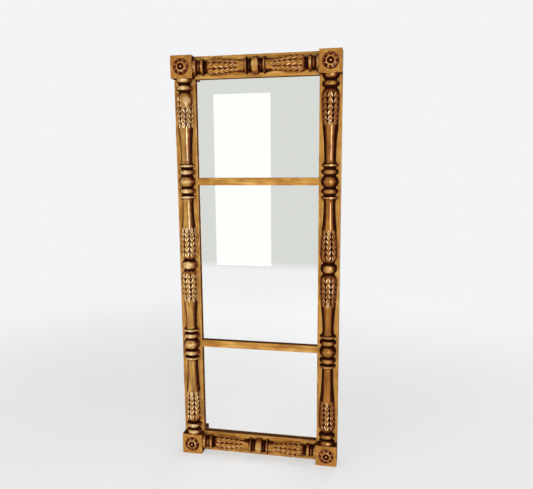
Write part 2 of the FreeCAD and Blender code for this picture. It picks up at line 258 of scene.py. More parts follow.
def make_piece(name: str, patches: list[Patch], sharp_deg: float = 38.0) -> bpy.types.Object:
    """Write patches to one mesh at the origin, with poles merged and faces turned outwards.

    Args:
        name: Name of the object and its mesh.
        patches: Closed grids that make up the piece.
        sharp_deg: Angle between faces past which an edge is drawn sharp.

    Returns:
        The new object, linked to the scene.
    """
    points = np.concatenate([patch.points.reshape(-1, 3) for patch in patches]) * MM
    starts = np.cumsum([0] + [patch.points[..., 0].size for patch in patches])
    faces = [
        [start + corner for corner in face]
        for patch, start in zip(patches, starts)
        for face in patch.faces()
    ]
    mesh = bpy.data.meshes.new(name)
    mesh.from_pydata(points.tolist(), [], faces)
    for key in patches[0].paint:
        values = np.concatenate([patch.paint[key].ravel() for patch in patches])
        attribute = mesh.attributes.new(key, "FLOAT", "POINT")
        attribute.data.foreach_set("value", values.astype(np.float32))
    shell = bmesh.new()
    shell.from_mesh(mesh)
    bmesh.ops.remove_doubles(shell, verts=shell.verts, dist=TOUCHING * MM)
    bmesh.ops.recalc_face_normals(shell, faces=shell.faces)
    shell.to_mesh(mesh)
    shell.free()
    mesh.polygons.foreach_set("use_smooth", np.ones(len(mesh.polygons), dtype=bool))
    mesh.set_sharp_from_angle(angle=math.radians(sharp_deg))
    piece = bpy.data.objects.new(name, mesh)
    bpy.context.scene.collection.objects.link(piece)
    return piece


def settle(piece: bpy.types.Object, body: str, slot: str, finish: bpy.types.Material, *nodes: str) -> None:
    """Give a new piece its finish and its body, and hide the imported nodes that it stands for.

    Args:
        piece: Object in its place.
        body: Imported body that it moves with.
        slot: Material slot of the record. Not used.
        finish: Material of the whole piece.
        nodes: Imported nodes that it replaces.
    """
    piece.data.materials.append(finish)
    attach(piece, body)
    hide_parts(*nodes)
    LOG.info("%s: %d faces, stands for %s", piece.name, len(piece.data.polygons), ", ".join(nodes))


def dress(nodes: list[str], finish: bpy.types.Material) -> None:
    """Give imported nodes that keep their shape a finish.

    Args:
        nodes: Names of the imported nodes.
        finish: Material that takes the place of theirs.
    """
    for node in nodes:
        materials = frame["nodes"][node].data.materials
        materials.clear()
        materials.append(finish)
        LOG.info("%s: packed solid in %s", node, finish.name)


class Value:
    """A shader socket that can stand in arithmetic: each operator adds one Math node."""

    def __init__(self, paint: "Paint", socket: Optional[bpy.types.NodeSocket]) -> None:
        """Wrap a socket of the paint's node tree."""
        self.paint = paint
        self.socket = socket

    def math(self, operation: str, first: "Number", second: "Number") -> "Value":
        """Add a Math node for two values."""
        return self.paint.node("ShaderNodeMath", {"operation": operation}, {0: first, 1: second})

    def __add__(self, other: "Number") -> "Value":
        """Sum."""
        return self.math("ADD", self, other)

    def __radd__(self, other: "Number") -> "Value":
        """Sum with a number in front."""
        return self.math("ADD", other, self)

    def __sub__(self, other: "Number") -> "Value":
        """Difference."""
        return self.math("SUBTRACT", self, other)

    def __rsub__(self, other: "Number") -> "Value":
        """Difference from a number in front."""
        return self.math("SUBTRACT", other, self)

    def __mul__(self, other: "Number") -> "Value":
        """Product."""
        return self.math("MULTIPLY", self, other)

    def __rmul__(self, other: "Number") -> "Value":
        """Product with a number in front."""
        return self.math("MULTIPLY", other, self)

    def __abs__(self) -> "Value":
        """Size without sign."""
        return self.math("ABSOLUTE", self, 0.0)

    def part_over(self) -> "Value":
        """What is left over the last whole number."""
        return self.math("FRACT", self, 0.0)

    def at_least(self, other: "Number") -> "Value":
        """The larger of two values."""
        return self.math("MAXIMUM", self, other)

    def rise(self, low: float, high: float) -> "Value":
        """Smooth rise from 0 to 1, as 3 t^2 - 2 t^3 of the share t of the way.

        Args:
            low: Value that gives 0.
            high: Value that gives 1. It may be the smaller one.

        Returns:
            The graded value.
        """
        if low > high:
            return 1.0 - self.rise(high, low)
        limits = {"Value": self, "From Min": low, "From Max": high}
        return self.paint.node("ShaderNodeMapRange", {"interpolation_type": "SMOOTHSTEP"}, limits)

    def swing(self) -> "Value":
        """How far a noise is from its middle, 0.5."""
        return self - 0.5

    def rise_at(self, limit_mm: float, offsets: Range) -> "Value":
        """Smooth rise between two offsets from a limit, all in millimetres."""
        return self.rise((limit_mm + offsets[0]) * MM, (limit_mm + offsets[1]) * MM)


Number = Union[float, Value]


class Paint:
    """One node tree, with one method that adds any node to it."""

    def __init__(self, tree: bpy.types.NodeTree) -> None:
        """Take over a tree and empty it."""
        self.tree = tree
        self.tree.nodes.clear()

    def node(
        self,
        kind: str,
        settings: Optional[dict[str, Any]] = None,
        inputs: Optional[dict[Union[str, int], Any]] = None,
        output: Union[str, int] = 0,
    ) -> Value:
        """Add a node.

        Args:
            kind: Type name of the node.
            settings: Properties of the node, set first.
            inputs: Numbers, colours or linked values, by the socket's name or place.
            output: Name or place of the output that is wanted.

        Returns:
            The wanted output. The node that ends a tree has none.
        """
        made = self.tree.nodes.new(kind)
        for key, setting in (settings or {}).items():
            setattr(made, key, setting)
        for key, given in (inputs or {}).items():
            if isinstance(given, Value):
                self.tree.links.new(given.socket, made.inputs[key])
            else:
                made.inputs[key].default_value = given
        return Value(self, made.outputs[output] if made.outputs else None)

    def place(self) -> Value:
        """Object coordinates, which are the frame's own metres."""
        return self.node("ShaderNodeTexCoord", output="Object")

    def parts(self, vector: Value) -> list[Value]:
        """The X, Y and Z of a vector."""
        first = self.node("ShaderNodeSeparateXYZ", None, {0: vector})
        return [Value(self, socket) for socket in first.socket.node.outputs]

    def stretched(self, vector: Value, scales: tuple[float, float, float]) -> Value:
        """The vector with each axis multiplied by its scale."""
        return self.node("ShaderNodeVectorMath", {"operation": "MULTIPLY"}, {0: vector, 1: scales})

    def noise(self, vector: Value, size_mm: float, detail: float = 3.0, warp: float = 0.0) -> Value:
        """Cloudy noise from 0 to 1, with patches of about the given size."""
        sockets = {"Vector": vector, "Scale": 1.0 / (size_mm * MM), "Detail": detail, "Distortion": warp}
        return self.node("ShaderNodeTexNoise", None, sockets)

    def painted(self, name: str) -> Value:
        """A value that was painted on the points of a piece, and 0 on a piece without it."""
        return self.node("ShaderNodeAttribute", {"attribute_name": name}, output="Fac")

    def mixed(self, share: Number, first: Any, second: Any) -> Value:
        """The first colour where share is 0, and the second where it is 1."""
        # The Mix node has sockets for every kind of data: 6, 7 and output 2 are those of colours.
        sockets = {0: share, 6: self.opaque(first), 7: self.opaque(second)}
        return self.node("ShaderNodeMix", {"data_type": "RGBA"}, sockets, 2)

    @staticmethod
    def opaque(colour: Any) -> Any:
        """A plain colour with the alpha that sockets ask for. A linked colour stays as it is."""
        return colour if isinstance(colour, Value) else (*colour, 1.0)


@dataclass
class Layers:
    """What changes over a surface.

    Fields:
        colour: Base colour.
        roughness: Roughness from 0 to 1.
        relief: Height of the fine relief, in metres.
        metal: Metal share from 0 to 1.
        coat: Varnish from 0 to 1.
    """

    colour: Value
    roughness: Value
    relief: Value
    metal: Number = 0.0
    coat: Number = 0.0

    def under(self, top: "Layers", share: Value) -> "Layers":
        """These layers with others laid over them.

        Args:
            top: Layers that cover these.
            share: 1 where the top layers show, and 0 where these show.

        Returns:
            The combined layers.
        """
        blended = {
            name: getattr(self, name) + share * (getattr(top, name) - getattr(self, name))
            for name in ("roughness", "relief", "metal", "coat")
        }
        return Layers(colour=share.paint.mixed(share, self.colour, top.colour), **blended)


def new_paint(name: str) -> tuple[bpy.types.Material, Paint]:
    """An empty material and the paint for its nodes.

    Args:
        name: Name of the material.

    Returns:
        The material and its paint.
    """
    material = bpy.data.materials.new(name)
    material.use_nodes = True
    return material, Paint(material.node_tree)


def shade(paint: Paint, layers: Layers, fixed: Optional[dict[str, Any]] = None) -> None:
    """Join layers to a Principled shader and the material's output.

    Args:
        paint: Paint of the material.
        layers: What changes over the surface.
        fixed: Other sockets of the shader, the same all over.
    """
    normal = paint.node("ShaderNodeBump", None, {"Height": layers.relief, "Distance": 1.0, "Strength": 1.0})
    sockets = {
        "Base Color": layers.colour,
        "Roughness": layers.roughness,
        "Metallic": layers.metal,
        "Coat Weight": layers.coat,
        "Normal": normal,
        **(fixed or {}),
    }
    shader = paint.node("ShaderNodeBsdfPrincipled", None, sockets)
    paint.node("ShaderNodeOutputMaterial", None, {"Surface": shader})


class Grain(Enum):
    """Way that a piece's length runs, as scales that draw a pattern out along it."""

    UPRIGHT = (1.0, 1.0, 0.07)
    ACROSS = (0.07, 1.0, 1.0)
    NONE = (1.0, 1.0, 1.0)


class Finish:
    """A finish that pieces are dressed in. Each kind has its own method, cover, that lays it."""

    cover: Callable[..., None]

    def material(self, name: str, *grain: Grain) -> bpy.types.Material:
        """A new material in this finish.

        Args:
            name: Name of the material.
            grain: Way that streaks and fibres run, for a finish that has any.

        Returns:
            The new material.
        """
        material, paint = new_paint(name)
        self.cover(paint, *grain)
        return material


@dataclass(frozen=True)
class Gilding(Finish):
    """Bronze gilding under old varnish: red-brown patina and painted shade in the hollows, pale wear and
    painted highlights on the crests.

    Fields:
        bright, middle, deep: Tones of the gilding itself.
        umber_and_shade, patina_and_shade: The glaze where it is thin, and where it is thick, also as painted
            shade.
        gilt: Clean gilding on crests that hands have kept bright.
        crest, bare: Worn leaf tips and edges with their painted highlights, and the ground where the gilding
            is lost.
        sheen: Tint of the gloss.
        streaky: Share of the streaks in the tone. The clouds have the rest.
        clouded, specked, mottled: How far the patterns make the glaze uneven.
        glaze: Strength of the glaze and painted shade in the painted hollows.
        gilt_least: Share of the clean gilding between its mottles.
        fleck_share, wear_share, loss_share: Most of the flecks, the wear and the bare ground that shows.
        wear_specked, loss_clouded, loss_specked: How far the patterns make wear and losses uneven.
        grime_rough, streak_rough, loss_rough: What glaze, streaks and losses add to the roughness.
        wear_dulled, loss_dulled: Share of the metal that wear takes, and of the varnish that losses take.
        relief_mm: Heights of the streaks, specks and clouds.
    """

    bright: Colour = (0.585, 0.330, 0.085)
    middle: Colour = (0.445, 0.215, 0.043)
    deep: Colour = (0.265, 0.105, 0.016)
    umber_and_shade: Colour = (0.165, 0.042, 0.008)
    patina_and_shade: Colour = (0.020, 0.0042, 0.0018)
    gilt: Colour = (0.50, 0.268, 0.060)
    crest: Colour = (0.95, 0.74, 0.43)
    bare: Colour = (0.56, 0.36, 0.18)
    sheen: Colour = (1.0, 0.62, 0.34)
    streak_mm: float = 7.0
    cloud_mm: float = 38.0
    speck_mm: float = 2.6
    mottle_mm: float = 10.0
    streaky: float = 0.55
    clouded: float = 0.30
    specked: float = 0.24
    mottled: float = 0.12
    glaze: float = 1.1
    gilt_least: float = 0.35
    middle_range: Range = (0.34, 0.56)
    bright_range: Range = (0.50, 0.70)
    gilt_range: Range = (0.36, 0.64)
    glaze_range: Range = (0.06, 0.92)
    thin_range: Range = (0.0, 0.55)
    thick_range: Range = (0.40, 1.0)
    fleck_range: Range = (0.66, 0.74)
    wear_range: Range = (0.30, 0.95)
    loss_range: Range = (0.25, 1.0)
    fleck_share: float = 0.5
    wear_share: float = 0.88
    loss_share: float = 0.75
    wear_specked: float = 0.5
    loss_clouded: float = 0.5
    loss_specked: float = 0.3
    metal: float = 0.10
    wear_dulled: float = 0.5
    roughness: float = 0.36
    grime_rough: float = 0.16
    streak_rough: float = 0.16
    loss_rough: float = 0.06
    coat: float = 0.30
    loss_dulled: float = 0.7
    coat_roughness: float = 0.17
    coat_density: float = 1.5
    specular: float = 0.0
    relief_mm: tuple[float, float, float] = (0.12, 0.05, 0.25)

    def layers(self, paint: Paint, grain: Grain, glaze_and_shade: Optional[Value] = None) -> Layers:
        """Layers of the gilding.

        Args:
            paint: Paint of the material.
            grain: Way that the brushed streaks run.
            glaze_and_shade: Extra darkness from 0 to 1, glaze and painted shade, on top of the painted ones.

        Returns:
            Colour, roughness, metal, relief and varnish.
        """
        place = paint.place()
        streak = paint.noise(paint.stretched(place, grain.value), self.streak_mm, detail=5.0, warp=0.6)
        cloud = paint.noise(place, self.cloud_mm, detail=4.0)
        speck = paint.noise(place, self.speck_mm, detail=2.0)
        mottle = paint.noise(place, self.mottle_mm)
        tone = streak * self.streaky + cloud * (1.0 - self.streaky)
        gold = paint.mixed(tone.rise(*self.middle_range), self.deep, self.middle)
        gold = paint.mixed(tone.rise(*self.bright_range), gold, self.bright)
        kept = self.gilt_least + mottle.rise(*self.gilt_range) * (1.0 - self.gilt_least)
        gold = paint.mixed(paint.painted("gilt") * kept, gold, self.gilt)

        # The painted darkness is patina and dirt, and painted shade on sides, flanks, necks and round the
        # flowers.
        dark = paint.painted("glaze_and_shade")
        if glaze_and_shade is not None:
            dark = dark.at_least(glaze_and_shade)
        uneven = cloud.swing() * self.clouded + speck.swing() * self.specked + mottle.swing() * self.mottled
        grime_and_shade = (dark * self.glaze + uneven).rise(*self.glaze_range)
        grime_and_shade = grime_and_shade.at_least(speck.rise(*self.fleck_range) * self.fleck_share)
        colour = paint.mixed(grime_and_shade.rise(*self.thin_range), gold, self.umber_and_shade)
        colour = paint.mixed(grime_and_shade.rise(*self.thick_range), colour, self.patina_and_shade)

        # The painted crests are wear, and painted highlights on leaf tips, edges and the fronts of rings.
        wear = (paint.painted("crest") + speck.swing() * self.wear_specked).rise(*self.wear_range)
        colour = paint.mixed(wear * self.wear_share, colour, self.crest)
        loss = paint.painted("bare") + cloud.swing() * self.loss_clouded + speck.swing() * self.loss_specked
        loss = loss.rise(*self.loss_range)
        colour = paint.mixed(loss * self.loss_share, colour, self.bare)
        clean = 1.0 - grime_and_shade
        roughness = self.roughness + grime_and_shade * self.grime_rough + streak.swing() * self.streak_rough
        streaks, specks, clouds = self.relief_mm
        return Layers(
            colour=colour,
            roughness=roughness + loss * self.loss_rough,
            relief=(streak * streaks + speck * specks + cloud * clouds) * MM,
            metal=clean * (1.0 - loss) * (1.0 - wear * self.wear_dulled) * self.metal,
            coat=clean * (1.0 - loss * self.loss_dulled) * self.coat,
        )

    def varnish(self) -> dict[str, Any]:
        """Sockets of the varnish that are the same all over.

        Returns:
            Their settings, by the socket's name.
        """
        return {
            "Coat Roughness": self.coat_roughness,
            "Coat IOR": self.coat_density,
            "Specular IOR Level": self.specular,
            "Specular Tint": Paint.opaque(self.sheen),
        }

    def cover(self, paint: Paint, grain: Grain) -> None:
        """Gild pieces with painted glaze and shade in the hollows, and wear and highlights on the crests."""
        shade(paint, self.layers(paint, grain), self.varnish())


@dataclass(frozen=True)
class Pine(Finish):
    """Bare aged pine: growth rings as contour lines of a slow noise, fine fibres and old dirt."""

    early: Colour = (0.40, 0.245, 0.125)
    late: Colour = (0.245, 0.125, 0.052)
    dirt: Colour = (0.085, 0.055, 0.034)
    slope_mm: float = 95.0
    rings: float = 34.0
    ring_waver: float = 0.8
    fibre_mm: float = 1.3
    pore_mm: float = 0.8
    cloud_mm: float = 90.0
    late_range: Range = (0.25, 1.0)
    fibre_range: Range = (0.40, 0.80)
    pore_range: Range = (0.58, 0.72)
    cloud_range: Range = (0.52, 0.80)
    late_share: float = 0.55
    fibre_share: float = 0.55
    pore_share: float = 0.35
    cloud_share: float = 0.50
    roughness: float = 0.72
    late_rough: float = 0.08
    relief_mm: Range = (0.10, 0.16)

    def layers(self, paint: Paint, grain: Grain) -> Layers:
        """Layers of the wood.

        Args:
            paint: Paint of the material.
            grain: Way that the fibres run.

        Returns:
            Colour, roughness and relief.
        """
        place = paint.place()
        drawn_out = paint.stretched(place, grain.value)
        fibres = paint.noise(paint.stretched(drawn_out, grain.value), self.fibre_mm)
        slope = paint.noise(drawn_out, self.slope_mm, detail=1.5)
        cloud = paint.noise(place, self.cloud_mm, detail=5.0)
        pores = paint.noise(drawn_out, self.pore_mm, detail=2.0).rise(*self.pore_range)
        late = (slope * self.rings + fibres.swing() * self.ring_waver).part_over().rise(*self.late_range)
        colour = paint.mixed(late * self.late_share, self.early, self.late)
        colour = paint.mixed(fibres.rise(*self.fibre_range) * self.fibre_share, colour, self.late)
        colour = paint.mixed(pores * self.pore_share, colour, self.dirt)
        colour = paint.mixed(cloud.rise(*self.cloud_range) * self.cloud_share, colour, self.dirt)
        rings, strands = self.relief_mm
        return Layers(
            colour=colour,
            roughness=self.roughness + late * self.late_rough,
            relief=(late * rings + fibres * strands) * MM,
        )

    def cover(self, paint: Paint, grain: Grain) -> None:
        """Show the bare wood."""
        shade(paint, self.layers(paint, grain))


@dataclass(frozen=True)
class BoardFinish(Finish):
    """Gilding on the face of a board, brown wash on the sight edges and as painted shade on the outer edges,
    bare pine behind.

    Fields:
        wash_and_shade, wash_and_shade_dark: Tones of the wash, which on the outer edges is painted shade.
        sight_fade, rim_fade, face_fade: Offsets from the sight edges, the outer edges and the face between
        which the wash and its painted shade set in.
        gilded_depth, bare_fade: Distance from the face at which the gilding ends, and offsets from that end
            between which the bare wood sets in.
        ragged, ragged_mm: How far that end strays, and the size of its waves.
    """

    gilding: Gilding
    pine: Pine
    layout: Layout
    wash_and_shade: Colour = (0.095, 0.036, 0.013)
    wash_and_shade_dark: Colour = (0.040, 0.014, 0.005)
    wash_roughness: float = 0.62
    stain_mm: float = 9.0
    stain_rough: float = 0.1
    sight_fade: Range = (1.2, 0.4)
    rim_fade: Range = (-0.6, -0.1)
    face_fade: Range = (0.7, 2.4)
    gilded_depth: float = 13.0
    ragged: float = 5.0
    ragged_mm: float = 16.0
    bare_fade: Range = (-0.6, 0.6)

    def cover(self, paint: Paint, grain: Grain) -> None:
        """Lay the gilding, the wash and its painted shade, and the bare wood by the place on the frame.

        Args:
            paint: Paint of the material.
            grain: Way that the boards run.
        """
        layout = self.layout
        place = paint.place()
        x, y, z = paint.parts(place)
        beside = abs(x)
        above = abs(z - layout.mid_height * MM)
        inside = beside.rise_at(layout.half_sight, self.sight_fade)
        inside = inside * above.rise_at(layout.mid_height - layout.board_width, self.sight_fade)
        outside = beside.rise_at(layout.half_width, self.rim_fade)
        outside = outside.at_least(above.rise_at(layout.mid_height, self.rim_fade))
        behind = y.rise_at(layout.face_y, self.face_fade)

        gilded = self.gilding.layers(paint, grain)
        stain = paint.noise(place, self.stain_mm)
        # The brown darkens the sight edges as a wash, and the outer edges as painted shade.
        washed_and_shaded = Layers(
            colour=paint.mixed(stain, self.wash_and_shade, self.wash_and_shade_dark),
            roughness=self.wash_roughness + stain * self.stain_rough,
            relief=gilded.relief,
        )
        finished = gilded.under(washed_and_shaded, inside.at_least(outside) * behind)
        edge = y + paint.noise(place, self.ragged_mm, detail=4.0).swing() * (2.0 * self.ragged * MM)
        bare = edge.rise_at(layout.face_y + self.gilded_depth, self.bare_fade)
        shade(paint, finished.under(self.pine.layers(paint, grain), bare), self.gilding.varnish())


@dataclass(frozen=True)
class SilveredGlass(Finish):
    """Old mirror plate: a clean bright middle, a faint waver and a little foxing along the edges."""

    layout: Layout
    silver: Colour = (0.97, 0.98, 0.97)
    foxing: Colour = (0.40, 0.36, 0.30)
    roughness: float = 0.012
    foxed_margin: Range = (-5.0, 1.0)
    spot_mm: float = 3.2
    spot_range: Range = (0.62, 0.72)
    spot_share: float = 0.7
    spot_rough: float = 0.35
    spot_dulled: float = 0.6
    waver_mm: float = 160.0
    waver_height: float = 0.010

    def cover(self, paint: Paint) -> None:
        """Silver the panes.

        Args:
            paint: Paint of the material.
        """
        place = paint.place()
        margin = abs(paint.parts(place)[0]).rise_at(self.layout.half_sight, self.foxed_margin)
        spots = paint.noise(place, self.spot_mm, detail=4.0).rise(*self.spot_range) * margin
        layers = Layers(
            colour=paint.mixed(spots * self.spot_share, self.silver, self.foxing),
            roughness=self.roughness + spots * self.spot_rough,
            relief=paint.noise(place, self.waver_mm, detail=1.0) * (self.waver_height * MM),
            metal=1.0 - spots * self.spot_dulled,
        )
        shade(paint, layers)


@dataclass(frozen=True)
class Metal(Finish):
    """A small metal fitting: its colour, dull tarnish in clouds, fine scratches and painted dirt and shade in
    its recesses.
    """

    colour: Colour
    tarnish: Colour
    roughness: float
    dull_range: Range
    cloud_mm: float = 6.0
    grit_mm: float = 0.7
    gritty: float = 0.4
    dull_rough: float = 0.30
    grit_rough: float = 0.10
    dulled: float = 0.45
    relief_mm: Range = (0.03, 0.04)

    def cover(self, paint: Paint) -> None:
        """Show the metal with its tarnish.

        Args:
            paint: Paint of the material.
        """
        place = paint.place()
        cloud = paint.noise(place, self.cloud_mm, detail=5.0)
        grit = paint.noise(place, self.grit_mm)
        dull = (cloud + grit.swing() * self.gritty).rise(*self.dull_range)
        # Painted dirt and shade in the screws' slots and round their rims.
        dull = dull.at_least(paint.painted("glaze_and_shade"))
        scratches, clouds = self.relief_mm
        layers = Layers(
            colour=paint.mixed(dull, self.colour, self.tarnish),
            roughness=self.roughness + dull * self.dull_rough + grit.swing() * self.grit_rough,
            relief=(grit * scratches + cloud * clouds) * MM,
            metal=1.0 - dull * self.dulled,
        )
        shade(paint, layers)


class Outline:
    """Half of a turned outline, from its middle to one end, as runs of (station, radius) points.

    A straight run is start + t (end - start). A round run is centre + radius (sin a, 1 - cos a), where the
    angle a goes steadily from one end to the other.
    """

    samples = 240

    def __init__(self, radius: float) -> None:
        """Start in the middle.

        Args:
            radius: Radius there.
        """
        self.station = 0.0
        self.radius = radius
        self.runs: list[np.ndarray] = []

    def add(self, stations: np.ndarray, radii: np.ndarray) -> None:
        """Append a run of points and move to its end."""
        self.runs.append(np.stack([stations, radii], axis=-1))
        self.station, self.radius = stations[-1], radii[-1]

    def line(self, length: float, radius: float) -> None:
        """A straight run of a length to another radius."""
        share = np.linspace(0.0, 1.0, self.samples)
        self.add(self.station + share * length, self.radius + share * (radius - self.radius))

    def along(self, length: float) -> None:
        """A plain cylinder."""
        self.line(length, self.radius)

    def step(self, radius: float) -> None:
        """A square shoulder to another radius."""
        self.line(0.0, radius)

    def bead(self, length: float, crest: float) -> None:
        """A ring that swells to its crest and comes back to the radius it started from.

        Args:
            length: Length along the axis.
            crest: Largest radius.
        """
        half = length / 2
        rise = crest - self.radius
        turn = (half ** 2 + rise ** 2) / (2 * rise)
        widest = 2 * math.atan2(rise, half)
        angle = np.linspace(-widest, widest, self.samples)
        self.add(self.station + half + turn * np.sin(angle), crest - turn * (1 - np.cos(angle)))

    def turn_away(self, station: float, radius: float) -> None:
        """A round run to a point, parallel to the axis at its start."""
        level = np.array([self.station, self.radius])
        self.add(*self.level_arc(level, np.array([station, radius])))

    def level_off(self, station: float, radius: float) -> None:
        """A round run to a point, parallel to the axis at its end.

        Args:
            station: End of the run.
            radius: Radius there.
        """
        level = np.array([station, radius])
        stations, radii = self.level_arc(level, np.array([self.station, self.radius]))
        self.add(stations[::-1], radii[::-1])

    def ogee(self, station: float, radius: float, share: float) -> None:
        """Two round runs that meet smoothly, parallel to the axis at both ends.

        Args:
            station: End of the second run.
            radius: Radius there.
            share: Share of the straight way between the ends at which the runs meet.
        """
        meeting = self.station + share * (station - self.station)
        self.turn_away(meeting, self.radius + share * (radius - self.radius))
        self.level_off(station, radius)

    def level_arc(self, level: np.ndarray, other: np.ndarray) -> tuple[np.ndarray, np.ndarray]:
        """The arc from a point, where it is parallel to the axis, to another point.

        Args:
            level: Station and radius of the first point.
            other: Station and radius of the other point.

        Returns:
            Stations and radii.
        """
        run, drop = other - level
        turn = (run ** 2 + drop ** 2) / (2 * abs(drop))
        angle = np.linspace(0.0, 2 * math.atan2(abs(drop), abs(run)), self.samples)
        stations = level[0] + math.copysign(turn, run) * np.sin(angle)
        return stations, level[1] + math.copysign(turn, drop) * (1 - np.cos(angle))


@dataclass
class Relief:
    """What a carving does to a turned surface, each from 0 to 1.

    Fields:
        height: Leaf height, 0 on the ground and 1 on the turned surface.
        cut: Share of the carving's depth that is cut here.
        shade: Painted shade and dark glaze in the pockets.
        glint: Painted highlight and rubbing on the leaf tips.
    """

    height: np.ndarray
    cut: np.ndarray
    shade: np.ndarray
    glint: np.ndarray


@dataclass(frozen=True)
class LeafCarving:
    """Sprigs of leaf pairs carved side by side into a vase, which point from its shoulder to the shaft.

    Places along a sprig are in rows, and places across it in shares of the way to the middle between two
    sprigs.

    Fields:
        root, length: Station of the roots, from the middle of the turning, and length along the axis.
        heading: 1 where the sprigs run away from the middle, and -1 where they run towards it.
        rows: Leaf pairs in a sprig, with the closed bud at its tip.
        crowding: Share by which the rows draw together towards the tip.
        leaf_length, leaf_lean: Length of a leaf, and place of its tip across the sprig.
        plumpness, roundness: Powers that shape a leaf's outline and its section.
        bud_ring, bud_line, root_line: Middle and half width of a ring, a rubbed line with painted highlight,
            and a glazed line with painted shade.
    """

    root: float
    length: float
    heading: int
    rows: int = 6
    column_angle: float = math.radians(40)
    depth: float = 2.0
    reach: Range = (-0.08, 1.12)
    crowding: float = 0.16
    uneven_rows: float = 0.09
    uneven_widths: float = 0.12
    leaf_length: float = 1.10
    leaf_lean: float = 0.76
    leaf_width: float = 0.34
    root_height: float = 0.55
    rise_share: float = 0.6
    plumpness: float = 0.4
    roundness: float = 0.75
    spine_height: float = 0.85
    spine_width: float = 0.18
    bud_back: float = 0.42
    bud_size: float = 0.66
    bud_ring: Range = (0.60, 0.40)
    bud_rows: Range = (1.3, 0.8)
    bud_glint: float = 0.6
    bud_line: Range = (0.62, 0.22)
    ground_rows: Range = (-0.40, 0.10)
    ground_tip: float = 0.30
    ground_slant: float = 0.75
    ground_curve: float = 1.3
    ground_edge: float = 0.12
    rubbed: Range = (0.70, 0.30)
    glint_root: Range = (0.14, 0.50)
    glint_tip: Range = (1.0, 0.86)
    glint_width: float = 0.48
    pocket_height: Range = (0.55, 0.05)
    pocket_spread: Range = (0.30, 0.80)
    pocket_rows: Range = (-0.4, 1.0)
    pocket_least: float = 0.35
    flank_height: Range = (0.95, 0.5)
    ground_shade: float = 0.05
    flank_shade: float = 0.12
    pocket_shade: float = 0.60
    root_shade: float = 0.55
    root_line: Range = (-0.10, 0.45)

    def along(self, station: np.ndarray) -> np.ndarray:
        """Share of the way from the roots to the tips of the sprigs."""
        return (np.abs(station) - self.root) * self.heading / self.length

    def covers(self, station: np.ndarray) -> np.ndarray:
        """True where the carving reaches."""
        along = self.along(station)
        return (along > self.reach[0]) & (along < self.reach[1])

    def relief(self, station: np.ndarray, angle: np.ndarray, seed: float) -> Relief:
        """Leaves over the ground that is cut round them.

        A sprig has a spine at spread 0 and ends at spread 1, half way to the next one. Leaf i of a sprig
        goes from its root on the spine at row i to its tip at row i + leaf_length and spread leaf_lean. It is
        a dome across its width, (1 - d^2)^roundness, that rises towards the tip. The highest leaf shows. The
        last pair is closed to a bud: a ring (1 - ((e - middle) / half)^2)^roundness over the oval distance e.

        Args:
            station: Stations along the axis.
            angle: Angles round the axis, 0 in front.
            seed: Phase of the carver's unevenness.

        Returns:
            The carving's height, cut, shade and glint.
        """
        along = self.along(station)
        row = self.rows * along * (1 - self.crowding * (1 - along))
        turn = angle / self.column_angle
        column = np.round(turn)
        offset = 2 * (turn - column)
        spread = np.abs(offset)
        # One number for each end of the turning and each side of a sprig, so that no two stray alike.
        side = 1.3 * np.sign(station) + 0.7 * np.sign(offset)
        row = row + self.uneven_rows * vary(seed, (5.1, column), (2.3, side))
        first = np.floor(row)
        width = self.leaf_width * (1 + self.uneven_widths * vary(seed, (3.7, column), (1.9, first)))

        height = self.spine_height * bump(spread, 0.0, self.spine_width)
        glint = np.zeros_like(row)
        for earlier in range(math.ceil(self.leaf_length) + 1):
            leaf = first - earlier
            share = np.clip((row - leaf) / self.leaf_length, 0.0, 1.0)
            plump = np.clip(4 * share * (1 - share), 0.0, 1.0) ** self.plumpness
            across = (spread - self.leaf_lean * share) / (width * plump + NOT_ZERO)
            rise = self.root_height + (1 - self.root_height) * smooth(share, 0.0, self.rise_share)
            dome = np.clip(1 - across ** 2, 0.0, 1.0) ** self.roundness * rise
            grows = (leaf >= 0) & (leaf < self.rows - 1)
            # Leaf tips get a painted highlight along with their rubbing, stronger on some leaves than on
            # others.
            rubbed = self.rubbed[0] + self.rubbed[1] * vary(seed, (7.3, leaf), (4.1, column), (2.9, side))
            tip = smooth(share, *self.glint_root) * smooth(share, *self.glint_tip)
            tip = tip * bump(across, 0.0, self.glint_width)
            glint = np.where(grows & (dome > height), rubbed * tip, glint)
            height = np.maximum(height, np.where(grows, dome, 0.0))
        middle, half = self.bud_ring
        oval = np.hypot((row - (self.rows - self.bud_back)) / self.bud_size, spread / self.bud_size)
        bud = np.clip(1 - ((oval - middle) / half) ** 2, 0.0, 1.0) ** self.roundness
        bud = bud * smooth(row, self.rows - self.bud_rows[0], self.rows - self.bud_rows[1])
        glint = np.where(bud > height, self.bud_glint * bump(oval, *self.bud_line), glint)
        height = np.maximum(height, bud)

        end = self.rows + self.ground_tip - self.ground_slant * spread ** self.ground_curve
        cut = smooth(row, *self.ground_rows) * smooth(row, end + self.ground_edge, end - self.ground_edge)
        beside = self.pocket_least + (1 - self.pocket_least) * smooth(spread, *self.pocket_spread)
        pocket = smooth(height, *self.pocket_height) * beside * smooth(row, *self.pocket_rows)
        flank = smooth(height, *self.flank_height)
        shade = cut * (self.ground_shade + self.flank_shade * flank + self.pocket_shade * pocket)
        shade = np.maximum(shade, self.root_shade * bump(row, *self.root_line) * (1 - glint))
        return Relief(height, cut, shade, cut * glint)


